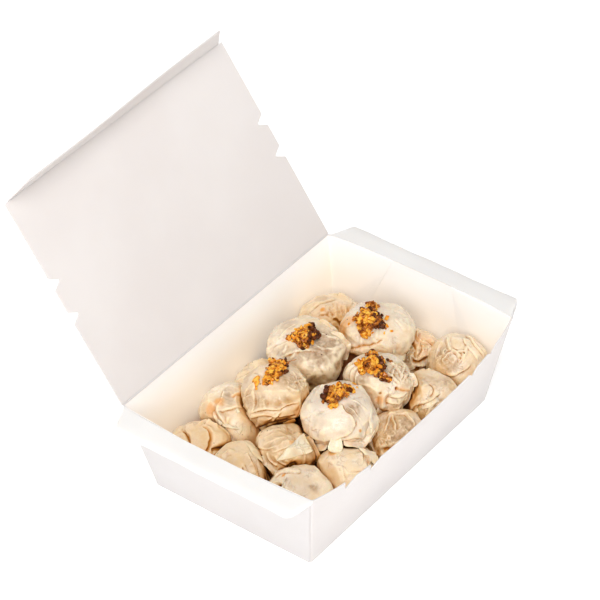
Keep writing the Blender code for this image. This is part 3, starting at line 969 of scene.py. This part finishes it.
# the smoothest one, with a thin slit of a crease across its front and oil down its left
siu_mai(4, [
    ("valley", [(62, 224), (67, 205), (76, 185), (92, 160)], 0.7, 0.5),
    ("lap", [(62, 226), (67, 206), (76, 186), (94, 158)], 0.9, 4),
    ("stain", [(62, 224), (67, 205), (76, 185), (92, 160)], 0.35, 0.7),
    ("swell", (92, 166), 4.5, 9),
    ("oil", (70, 138), 0.65, 4.5),
    ("oil", (54, 140), 0.6, 3.0),
    ("valley", [(52, 232), (68, 240), (85, 245)], 0.35, 1.2),
    ("lap", [(30, 275), (46, 270), (62, 266)], 0.5, 5),
], [
    ([(78, 240), (90, 246), (98, 262)], 3.5, 1.4, 0.8, -0.6),
], crinkle=0.04, filled=0.25, extra_shade=-0.12, whiter=0.2)
# arcs of dough on its left, a star of crinkles on its right, and a ridge over layered folds
siu_mai(5, [
    ("pinch", [(74, 138), (59, 132), (44, 124)], 0.8, 0.7),
    ("pinch", [(66, 152), (51, 141), (38, 134)], 0.8, 0.6),
    ("pinch", [(66, 166), (49, 156), (36, 147)], 0.7, 0.6),
    ("pinch", [(23, 330), (36, 285), (54, 268)], 0.9, 0.5),
    ("pinch", [(62, 335), (46, 290), (53, 260)], 0.9, 0.5),
    ("pinch", [(28, 243), (43, 250), (57, 258)], 0.8, 0.5),
    ("pinch", [(34, 322), (33, 270), (47, 238)], 0.8, 0.5),
    ("pinch", [(68, 318), (54, 282), (58, 262)], 0.9, 0.5),
    ("hole", (60, 248), 1.8, 0.9),
    ("lap", [(58, 244), (67, 259), (78, 270)], 0.9, 3),
    ("stain", [(59, 248), (67, 259), (77, 269)], 0.6, 0.7),
    ("hole", (64, 213), 0.8, 0.7),
    ("pinch", [(97, 222), (76, 219), (65, 224), (62, 238)], 1.1, 0.9),
    ("lap", [(70, 228), (73, 246), (77, 268)], 1.0, 3),
    ("lap", [(81, 224), (84, 244), (87, 266)], 1.1, 3),
    ("lap", [(100, 224), (102, 246), (104, 272)], 1.1, 4),
    ("oil", (76, 214), 0.5, 2.2),
    ("meat", (49, 170), 0.7, 4),
    ("meat", (33, 262), 0.6, 5),
    ("crumple", (44, 275), 0.35, 7),
], [
    ([(88, 214), (100, 222), (104, 240), (104, 262)], 3.2, 2.4, 0.7, -0.9),
    ([(60, 300), (70, 296), (82, 288)], 3.0, 1.6, 1, 0.4),
], crinkle=0.2, extra_shade=-0.15)
# high in the right corner: strings of dough over grey meat, and a flap against the wall
siu_mai(6, [
    ("crumple", (34, 165), 0.6, 6),
    ("meat", (36, 160), 0.85, 5.5),
    ("meat", (46, 198), 0.7, 4.5),
    ("pinch", [(24, 80), (14, 142), (22, 182)], 1.0, 0.5),
    ("pinch", [(20, 176), (25, 214), (42, 222)], 1.0, 0.5),
    ("pinch", [(42, 174), (29, 178), (21, 205), (26, 252)], 0.9, 0.5),
    ("pinch", [(21, 309), (24, 252), (38, 228)], 0.7, 0.6),
    ("pinch", [(50, 150), (38, 124), (26, 92)], 0.7, 0.7),
    ("lap", [(34, 10), (28, 310), (52, 291)], 1.0, 4),
    ("lap", [(18, 16), (21, 282), (48, 268)], 0.7, 4),
    ("lap", [(68, 156), (67, 195), (58, 225), (46, 254)], 1.0, 5),
    ("hole", (26, 241), 0.7, 0.5),
    ("hole", (33, 221), 0.9, 0.7),
    ("valley", [(74, 172), (84, 200), (92, 220)], 0.5, 1.0),
], [], crinkle=0.1, filled=0.4)
# loose ruffles pushed up between its neighbours, round a small pink bubble
siu_mai(7, [
    ("crumple", (42, 225), 0.7, 12),
    ("swell", (34, 248), 1.6, 1.8),
    ("meat", (34, 248), 0.9, 1.8),
    ("meat", (49, 221), 0.8, 3),
    ("valley", [(10, 253), (36, 234), (52, 236)], 1.3, 0.6),
    ("valley", [(30, 276), (43, 251), (52, 236)], 1.3, 0.6),
    ("pinch", [(25, 350), (18, 285), (32, 271)], 1.4, 0.6),
    ("valley", [(52, 224), (56, 244), (58, 268)], 2.4, 0.9),
    ("pinch", [(62, 228), (66, 250), (76, 272)], 1.4, 0.8),
    ("hole", (71, 234), 2.4, 1.6),
    ("pinch", [(34, 280), (50, 285), (56, 264)], 1.1, 0.6),
    ("lap", [(43, 172), (19, 196), (6, 250)], 1.0, 4),
    ("pinch", [(50, 194), (34, 212), (20, 232)], 0.9, 0.6),
    ("oil", (26, 285), 0.35, 6),
], [
    ([(52, 200), (44, 220), (38, 238)], 3.0, 1.6, 1, 0.5),
    ([(30, 268), (42, 276), (54, 268)], 2.8, 1.6, 1, 0.4),
], crinkle=0.35, extra_shade=-0.12)
# a smooth yellow sheet with a wavy edge, and darker meat showing below the edge
siu_mai(8, [
    ("meat", (37, 172), 0.9, 5),
    ("meat", (27, 177), 1.0, 1.5),
    ("valley", [(14, 228), (29, 239), (42, 220)], 0.8, 0.6),
    ("lap", [(90, 158), (73, 180), (56, 195), (49, 213), (44, 231), (38, 262)], 1.5, 5),
    ("meat", (72, 208), 1.5, 8),
    ("meat", (66, 232), 1.5, 7),
    ("meat", (93, 201), 1.5, 8),
    ("valley", [(32, 86), (7, 185), (25, 262)], 0.35, 1.2),
    ("pinch", [(60, 160), (38, 145), (23, 122)], 0.4, 1.2),
], [
    ([(76, 178), (58, 194), (50, 213), (45, 230), (40, 256)], 2.4, 3.2, 0.5, -1),
], crinkle=0.06, filled=0.5, extra_shade=0.12)
# a little gathered peak with crinkles running from it over speckled meat
siu_mai(9, [
    ("swell", (9, 24), 1.8, 1.6),
    ("pinch", [(6, 19), (15, 238), (36, 239)], 0.9, 0.5),
    ("pinch", [(6, 36), (15, 195), (38, 204)], 0.8, 0.5),
    ("pinch", [(30, 344), (36, 309), (48, 288)], 0.8, 0.5),
    ("pinch", [(7, 4), (22, 341), (36, 325)], 0.8, 0.5),
    ("meat", (28, 269), 0.95, 8),
    ("meat", (45, 264), 0.95, 8),
    ("meat", (19, 205), 0.85, 5),
    ("crumple", (48, 190), 0.6, 7),
    ("swell", (48, 216), 1.1, 1.2),
    ("hole", (48, 216), 0.7, 0.4),
    ("valley", [(72, 200), (64, 220), (60, 238)], 2.2, 1.1),
    ("pinch", [(82, 190), (74, 210), (70, 230)], 0.9, 0.8),
], [
    ([(54, 168), (66, 178), (82, 190)], 3.4, 1.2, 1, 0.2),
], crinkle=0.2, filled=0.9, extra_shade=0.12)
# smooth and cream, with the skirt of its wrapper folded up on the right
siu_mai(10, [
    ("swell", (30, 185), 0.6, 5),
    ("swell", (41, 231), 0.6, 5),
    ("swell", (17, 210), -0.5, 4),
    ("oil", (27, 127), 0.75, 1.8),
    ("lap", [(54, 264), (38, 277), (26, 316)], 1.1, 5),
    ("lap", [(44, 326), (56, 306), (70, 298)], 1.0, 3),
    ("stain", [(88, 128), (78, 149), (79, 187)], 0.4, 1.2),
    ("valley", [(70, 226), (58, 221), (46, 220)], 0.3, 1.2),
], [
    ([(32, 300), (44, 288), (56, 276)], 4.5, 1.0, 1, -0.5),
    ([(48, 312), (58, 300), (70, 290)], 4.0, 1.2, 1, -0.3),
], [
    (((22, 330, 1.2), (50, 318, 2.6), (60, 288, 2.4), (38, 290, 0.6)), 1.0),
], crinkle=0.04, filled=0.2, extra_shade=0.12)
# smooth, with one long fold over its top and a small dark hole under a lifted rim
siu_mai(11, [
    ("lap", [(50, 106), (34, 96), (10, 68), (18, 8)], 1.0, 5),
    ("oil", (30, 104), 1.0, 0.9),
    ("hole", (42, 136), 3.6, 2.2),
    ("pinch", [(58, 128), (44, 122), (30, 138)], 0.8, 0.5),
    ("lap", [(30, 134), (32, 172), (40, 190)], 0.7, 4),
    ("meat", (34, 274), 0.6, 3),
    ("swell", (20, 200), 0.5, 5),
], [
    ([(26, 112), (33, 138), (42, 164)], 1.9, 0.5, 0.55, 0.8),
], crinkle=0.06, filled=0.25, extra_shade=0.08, whiter=0.2)
# a ribbed dome with a sheet of dough folded across it and a ruffle at its foot
siu_mai(12, [
    ("pinch", [(45, 138), (22, 132), (4, 60), (24, 279)], 0.45, 1.1),
    ("pinch", [(50, 156), (23, 172), (12, 245)], 0.45, 1.0),
    ("pinch", [(46, 174), (27, 201), (22, 244)], 0.45, 0.9),
    ("lap", [(49, 184), (37, 211), (32, 247)], 0.5, 4),
    ("oil", (31, 248), 0.6, 2.0),
    ("lap", [(24, 305), (36, 246), (52, 226)], 0.7, 4),
    ("pinch", [(50, 173), (63, 188), (70, 206)], 0.9, 0.6),
    ("pinch", [(49, 196), (60, 206), (68, 221)], 0.9, 0.6),
    ("pinch", [(54, 216), (64, 224), (62, 238)], 0.8, 0.6),
    ("swell", (26, 60), -1.6, 8),
    ("swell", (26, 358), -4.2, 6),
    ("meat", (20, 190), 0.5, 8),
    ("hole", (70, 232), 1.6, 2.4),
    ("lap", [(68, 120), (60, 160), (73, 188)], 0.7, 4),
], [
    ([(58, 168), (68, 186), (76, 206), (72, 226)], 3.2, 2.6, 0.9, -0.5),
    ([(40, 304), (54, 294), (72, 286), (90, 288)], 3.0, 1.3, 1, 0.1, 0.22),
    ([(48, 318), (66, 308), (88, 304)], 2.8, 1.6, 1, 0.3, 0.15),
], [
    (((38, 222, 0.9), (31, 296, 3.4), (57, 272, 3.2), (58, 203, 1.0)), 1.8),
], crinkle=0.14, extra_shade=0.25)
# a small dome with long pleats down its right side and a nub on its left
siu_mai(13, [
    ("lap", [(52, 255), (27, 272), (12, 326)], 1.0, 4),
    ("lap", [(60, 254), (46, 262), (30, 282)], 1.2, 3),
    ("valley", [(24, 234), (42, 239), (56, 244)], 0.6, 0.8),
    ("valley", [(30, 222), (46, 230)], 0.5, 0.7),
    ("swell", (17, 116), 1.4, 1.3),
    ("pinch", [(34, 132), (25, 120), (16, 112)], 0.9, 0.9),
    ("stain", [(26, 273), (44, 259), (58, 255)], 0.35, 0.9),
], [], [
    (((38, 30, 0.2), (22, 300, 0.8), (44, 290, 1.8), (56, 350, 2.0)), 1.0),
], crinkle=0.06, filled=0.3, extra_shade=0.3)
# a rosette: three lobes swirled round two deep creases
siu_mai(14, [
    ("valley", [(35, 93), (19, 144), (36, 200)], 2.0, 0.7),
    ("valley", [(22, 10), (25, 316), (33, 280), (41, 257), (50, 238)], 2.2, 0.7),
    ("stain", [(22, 10), (25, 316), (33, 280), (41, 257), (50, 238)], 0.5, 0.8),
    ("valley", [(50, 116), (38, 108), (26, 102)], 0.9, 0.5),
    ("pinch", [(20, 45), (34, 14), (37, 344), (42, 314)], 0.9, 0.8),
    ("swell", (48, 291), 1.2, 5),
    ("swell", (11, 235), 0.9, 5),
    ("swell", (36, 128), 0.7, 4),
    ("valley", [(50, 252), (55, 272), (64, 294)], 1.6, 1.2),
], [], crinkle=0.05, filled=0.2, extra_shade=0.35)
# folded into flat panels, with a rolled edge across its front
siu_mai(15, [
    ("lap", [(16, 210), (14, 267), (28, 314)], 1.0, 4),
    ("stain", [(16, 210), (14, 267), (28, 312)], 0.45, 0.8),
    ("lap", [(46, 184), (37, 219), (41, 254)], 0.9, 4),
    ("pinch", [(70, 212), (55, 201), (44, 185), (27, 182)], 1.0, 0.7),
    ("hole", (39, 268), 2.0, 1.2),
    ("oil", (50, 166), 0.6, 3.2),
    ("oil", (30, 176), 0.6, 2.2),
    ("lap", [(14, 114), (22, 172), (34, 180)], 0.8, 3),
    ("meat", (32, 195), 0.5, 7),
    ("pinch", [(46, 177), (60, 184), (72, 198)], 0.9, 0.6),
    ("pinch", [(62, 196), (79, 210), (92, 220)], 0.8, 0.7),
    ("swell", (92, 228), 5.0, 9),
    ("swell", (104, 250), 4.0, 8),
], [
    ([(60, 200), (62, 226), (70, 252)], 2.0, 1.2, 0.9, -0.8),
], [
    (((46, 138, -0.6), (10, 196, -0.6), (44, 238, 0.9), (66, 196, 1.3)), 1.2),
], crinkle=0.1, extra_shade=0.0)
# tucked into the back corner, ruffled and tinted with oil, with a short dark slit
siu_mai(16, [
    ("lap", [(50, 152), (33, 137), (18, 101), (21, 27)], 0.9, 4),
    ("oil", (29, 170), 0.9, 1.5),
    ("lap", [(40, 176), (32, 189), (23, 203)], 1.0, 3),
    ("pinch", [(5, 66), (23, 221), (39, 217)], 0.9, 0.7),
    ("valley", [(36, 212), (43, 224), (52, 230)], 2.0, 0.7),
    ("pinch", [(16, 286), (29, 258), (41, 236)], 0.9, 0.7),
    ("pinch", [(37, 326), (34, 275), (42, 241)], 0.9, 0.7),
    ("pinch", [(15, 147), (24, 189), (36, 211)], 0.8, 0.6),
    ("oil", (24, 225), 0.22, 9),
    ("crumple", (35, 225), 0.4, 9),
], [], crinkle=0.2, extra_shade=0.2)
# the lower layer, seen only in slivers between the others; three of them are painted almost
# black, painted shade deep in the gaps
for number, extra_shade in ((17, 1.35), (18, 1.35), (19, 0.1), (20, 1.35)):
    siu_mai(number, [
        ("lap", [(35, 250), (55, 235), (80, 225), (105, 220)], 0.9, 5),
        ("pinch", [(30, 120), (60, 130), (100, 120)], 0.7, 0.8),
        ("meat", (20, 90 * number), 0.7, 6),
    ], extra_shade=extra_shade, ball=plain_ball)


# ---------------------------------------------------------------- fried garlic
# A pinch of chopped garlic, fried in oil, tops each of the five upper dumplings. Most bits are
# golden, some have browned or burnt black. They lie in dark oily crumbs, whose darkness also
# paints the shade in the gaps between the bits, and a few have slid off.

crumb_and_gap_shade_finish, wire, place = new_finish("oily_crumbs_gap_shade", IOR=1.46, Specular_IOR_Level=0.15, Coat_Weight=0.2,
                                       Coat_Roughness=0.1)
# the crumbs are dark: fried crumbs, and painted shade in the gaps between the bits
crumb_mix = wire.noise(place, 900, detail=4, roughness=0.7)
wear(
    crumb_and_gap_shade_finish,
    Base_Color=crumb_mix.between(0.4, 0.62).mix((0.10, 0.02, 0.004), (0.52, 0.16, 0.016)),
    Roughness=0.3 + 0.3 * crumb_mix,
    Normal=wire.node("Bump", None, {"Strength": 0.9, "Distance": 0.4 * mm, "Height": crumb_mix}),
)


def fried(name, dull, bright, gloss):
    """Fried garlic, glossy with oil where it is toasted most."""
    finish, wire, place = new_finish(name, IOR=1.46, Subsurface_Weight=0.12, Subsurface_Scale=0.6 * mm,
                                     Subsurface_Radius=(1, 0.4, 0.1), Specular_IOR_Level=0.12,
                                     Coat_Roughness=0.06)
    toasted = wire.noise(place, 520, detail=4, roughness=0.65)
    wear(
        finish,
        Base_Color=toasted.between(0.34, 0.66).mix(dull, bright),
        Roughness=0.28 + 0.3 * toasted,
        Coat_Weight=gloss * toasted.between(0.42, 0.62),
        Normal=wire.node("Bump", None, {"Strength": 0.6, "Distance": 0.2 * mm, "Height": toasted}),
    )
    return finish


fried_kinds = {
    "golden": fried("golden_garlic", (0.70, 0.18, 0.006), (0.98, 0.58, 0.075), 1.0),
    "browned": fried("browned_garlic", (0.15, 0.025, 0.003), (0.64, 0.21, 0.018), 1.0),
    "burnt": fried("burnt_garlic", (0.035, 0.010, 0.003), (0.17, 0.038, 0.006), 0.35),
}
bits = {kind: ([], []) for kind in fried_kinds}
chunk_ways, chunk_faces = blank_ball(3)
dice = np.random.default_rng(41)
under_lid = 54.3                # mm: nothing on the food stands higher than the shut lid


def drop_bit(kind, place, up, sizes, jag=0.3, across=None):
    """Adds one irregular bit, its flat side roughly facing up."""
    across = np.cross(up, dice.normal(size=3)) if across is None else across - up * (across @ up)
    across /= np.linalg.norm(across)
    axes = np.stack((across, np.cross(up, across), up))
    shape = chunk_ways * (1 + jag * (dice.random(len(chunk_ways)) - 0.5)[:, None] * 2)
    shape = np.sign(shape) * np.abs(shape) ** 0.8
    places, faces = bits[kind]
    base = sum(len(group) for group in places)
    spots = place + (shape * np.array(sizes)) @ axes
    spots[:, 2] -= max(0.0, spots[:, 2].max() - under_lid)
    places.append(spots)
    faces.extend(tuple(base + n for n in face) for face in chunk_faces)


def drop_uneven(kind, place, facing, size):
    """A bit of the usual uneven shape, with its flat side the way it faces."""
    sizes = (size, size * (0.5 + 0.4 * dice.random()), size * 0.45)
    drop_bit(kind, place, facing / np.linalg.norm(facing), sizes)


def garlic_heap(number, count, burnt_side, burnt_share):
    """A heap on its crumbs; its burnt bits lie towards one heading."""
    node = f"garlic_{number:02d}"
    low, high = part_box(node)
    middle = np.array((low + high) / 2) / mm
    ways, faces = plain_ball
    spots = pressed(node, [Vector(middle) * mm + Vector(way) * 15 * mm for way in ways], faces) / mm - middle
    rough = 0.80 + 0.22 * (rumple(spots, 2.2, number) - 0.5) + 0.12 * (rumple(spots, 1.0, number + 5) - 0.5)
    places = (spots * rough[:, None] + middle) * mm
    add_piece(f"crumb_core_{number:02d}", places, faces, crumb_and_gap_shade_finish, "tray", [node],
              sharp=180)
    # most bits lie on the upper faces, and they get smaller towards the edge of the heap
    upper = np.flatnonzero((ways[:, 2] > -0.15))
    side = np.array((cos(radians(burnt_side)), sin(radians(burnt_side)), 0))
    reach = (spots @ side).max()
    for pick in dice.choice(upper, count):
        spot, way = spots[pick], ways[pick]
        size = (1.15 + 1.25 * dice.random()) * (1.05 - 0.3 * (1 - way[2]))
        burnt = spot @ side / reach + 1.5 * (rumple(spot[None, :], 3.0, number + 9)[0] - 0.5)
        luck = dice.random()
        is_burnt = burnt > 1 - 1.6 * burnt_share and luck < 0.85
        kind = "burnt" if is_burnt else "browned" if luck < 0.38 else "golden"
        place = spot * (0.94 + 0.28 * dice.random() * np.array((1, 1, 0.4))) + middle
        drop_uneven(kind, place, way + 0.7 * dice.normal(size=3), size)


for heap_shape in ((1, 80, 150, 0.38), (2, 78, 300, 0.2), (3, 70, 310, 0.46), (4, 95, 310, 0.3),
                   (5, 88, 335, 0.32)):
    garlic_heap(*heap_shape)


def over_skin(number, way, lift):
    """The place in mm a little above a dumpling's skin."""
    middle, surface = skins[number]
    return middle + way * (surface(way) + lift)


def pile(number, tilt, heading, reach, count, burnt_share=0.0):
    """More bits round a spot on a dumpling, lying deepest in the middle, where a heap has spread."""
    way = way_to(tilt, heading)
    for _ in range(count):
        aside = np.cross(way, dice.normal(size=3))
        off = reach * sqrt(dice.random())
        spot = way * skins[number][1](way) + aside / np.linalg.norm(aside) * off
        there = spot / np.linalg.norm(spot)
        size = 0.9 + 1.3 * dice.random() * (1.2 - 0.5 * off / reach)
        luck = dice.random()
        kind = "burnt" if luck < burnt_share else "browned" if luck < burnt_share + 0.36 else "golden"
        facing = there + 0.6 * dice.normal(size=3)
        lift = 0.25 + 1.9 * (1 - off / reach) * dice.random()
        drop_uneven(kind, over_skin(number, there, lift), facing, size)


for spread in (
    (1, 23, 128, 2.4, 20, 0.85), (1, 19, 188, 2.2, 16, 0.05), (1, 27, 8, 2.6, 20, 0.1),
    (1, 28, 340, 1.6, 8, 0.3),
    (2, 42, 14, 2.0, 14, 0.9), (2, 16, 186, 3.0, 22, 0.05), (2, 10, 60, 2.4, 12, 0.1),
    (3, 40, 216, 2.4, 20, 0.05), (3, 28, 190, 2.8, 24, 0.15), (3, 27, 266, 2.2, 18, 0.9),
    (3, 12, 310, 2.2, 14, 0.4), (3, 37, 171, 1.2, 4),
    (4, 28, 70, 3.0, 26), (4, 46, 184, 3.6, 36), (4, 52, 192, 2.2, 12, 0.1), (4, 33, 218, 2.6, 20, 0.45),
    (5, 32, 68, 2.6, 26, 0.1), (5, 38, 60, 1.2, 4, 1.0), (5, 29, 208, 2.6, 22, 0.25),
    (5, 38, 224, 2.0, 16, 0.35), (5, 43, 236, 1.4, 8, 0.2), (5, 34, 160, 2.4, 18, 0.1),
):
    pile(*spread)

# flakes that slid off the heaps and lie on the dumplings
for kind, number, tilt, heading, sizes in (
    ("golden", 1, 50, 3, (1.5, 0.8, 0.4)), ("golden", 1, 46, 350, (0.8, 0.6, 0.4)),
    ("golden", 2, 30, 128, (1.0, 0.8, 0.4)), ("golden", 2, 43, 167, (0.9, 0.7, 0.4)),
    ("browned", 2, 40, 142, (0.6, 0.5, 0.5)),
    ("golden", 3, 35, 168, (1.3, 0.9, 0.4)), ("golden", 3, 29, 172, (0.8, 0.6, 0.4)),
    ("golden", 4, 40, 236, (1.2, 0.7, 0.4)), ("golden", 4, 50, 242, (1.0, 0.6, 0.3)),
    ("golden", 4, 51, 226, (0.9, 0.5, 0.3)), ("golden", 4, 48, 146, (1.3, 0.8, 0.4)),
    ("golden", 4, 55, 150, (1.0, 0.7, 0.4)), ("browned", 4, 44, 231, (0.6, 0.5, 0.3)),
    ("browned", 5, 22, 326, (1.3, 0.9, 0.5)), ("browned", 5, 17, 334, (0.9, 0.7, 0.5)),
    ("golden", 5, 20, 345, (0.8, 0.5, 0.4)), ("browned", 5, 35, 228, (1.4, 0.8, 0.5)),
    ("golden", 5, 42, 236, (1.3, 0.6, 0.4)), ("golden", 5, 37, 216, (1.2, 0.8, 0.5)),
    ("burnt", 3, 41, 283, (0.3, 0.3, 0.2)), ("burnt", 3, 60, 245, (0.3, 0.3, 0.2)),
    ("burnt", 6, 26, 241, (0.35, 0.3, 0.2)),
):
    way = way_to(tilt, heading)
    drop_bit(kind, over_skin(number, way, 0.25), way, sizes, jag=0.2)
# the biggest is one long golden slice, down the left of the second dumpling
for tilt, heading in ((34, 138), (38, 152)):
    way = way_to(tilt, heading)
    drop_bit("golden", over_skin(2, way, 0.4), way, (2.5, 1.9, 0.55), jag=0.15, across=way_to(120, 165))
for kind, (places, faces) in bits.items():
    places = np.concatenate(places) * mm
    add_piece(f"{kind}_bits", places, faces, fried_kinds[kind], "tray", sharp=25)

# one thin burnt stalk sticks out of the second heap
stalk_from, stalk_to = Vector((-10.5, 14.2, 53.2)) * mm, Vector((-5.6, 11.4, 54.4)) * mm
stalk_bends, stalk_thicks = [], []
for t in (i / 12 for i in range(13)):
    bend = Vector((0.25 * sin(5 * t), 0.2 * sin(7 * t), 0.5 * sin(pi * t) ** 2)) * mm
    stalk_bends.append(stalk_from.lerp(stalk_to, t) + bend)
    stalk_thicks.append((0.34 - 0.2 * t + 0.05 * sin(9 * t)) * mm)
rod("burnt_stalk", stalk_bends, stalk_thicks, 8, fried_kinds["browned"], "tray")


# ---------------------------------------------------------------- table, light and camera
# The box stands on a plain pale surface. One large soft light hangs over it, a second stands at
# its left, and a weak one in front fills the shadows.

floor_mesh = bpy.data.meshes.new("pale_floor")
floor_mesh.from_pydata([(-3, -3, 0), (3, -3, 0), (3, 3, 0), (-3, 3, 0)], [], [(0, 1, 2, 3)])
floor = bpy.data.objects.new("pale_floor", floor_mesh)
bpy.context.scene.collection.objects.link(floor)
floor_finish, wire, place = new_finish("pale_floor", Roughness=0.9, Specular_IOR_Level=0.1,
                                       Emission_Color=(1, 1, 1, 1), Emission_Strength=0.36)
wear(floor_finish, Base_Color=wire.noise(place, 3).mix((0.93, 0.93, 0.93), (0.95, 0.95, 0.95)))
floor_mesh.materials.append(floor_finish)

world = bpy.data.worlds.new("soft_room")
bpy.context.scene.world = world
world.use_nodes = True
world.node_tree.nodes["Background"].inputs["Color"].default_value = (1.0, 0.99, 0.975, 1)
world.node_tree.nodes["Background"].inputs["Strength"].default_value = 0.55


def soft_light(name, place, size, power, colour):
    lamp = bpy.data.lights.new(name, "AREA")
    lamp.size, lamp.energy, lamp.color = size, power, colour
    light = bpy.data.objects.new(name, lamp)
    light.location = place
    light.rotation_euler = (Vector((0, 0, 0.03)) - Vector(place)).to_track_quat("-Z", "Y").to_euler()
    bpy.context.scene.collection.objects.link(light)


soft_light("key_light", (-0.45, -0.3, 1.4), 0.7, 9.2, (1.0, 0.99, 0.98))
soft_light("fill_light", (0.9, -1.3, 0.7), 0.8, 0.8, (1.0, 0.99, 0.98))
soft_light("side_light", (-1.2, -0.5, 0.85), 0.7, 8.6, (1.0, 0.99, 0.98))
bpy.context.scene.view_settings.view_transform = "Standard"

turned, raised, rolled = radians(-51.4), radians(39.38), radians(-1.86)
looked_at, camera_far = Vector((55.8, 57.1, 30)) * mm, 1.651
away = Vector((sin(turned) * cos(raised), -cos(turned) * cos(raised), sin(raised)))
sight = bpy.data.cameras.new("camera")
sight.lens, sight.sensor_width = 187.4, 36
sight.clip_start, sight.clip_end = 0.05, 20
camera = bpy.data.objects.new("camera", sight)
camera.matrix_world = (
    Matrix.Translation(looked_at + away * camera_far)
    @ (away.to_track_quat("Z", "Y").to_matrix() @ Matrix.Rotation(rolled, 3, "Z")).to_4x4()
)
bpy.context.scene.collection.objects.link(camera)
bpy.context.scene.camera = camera
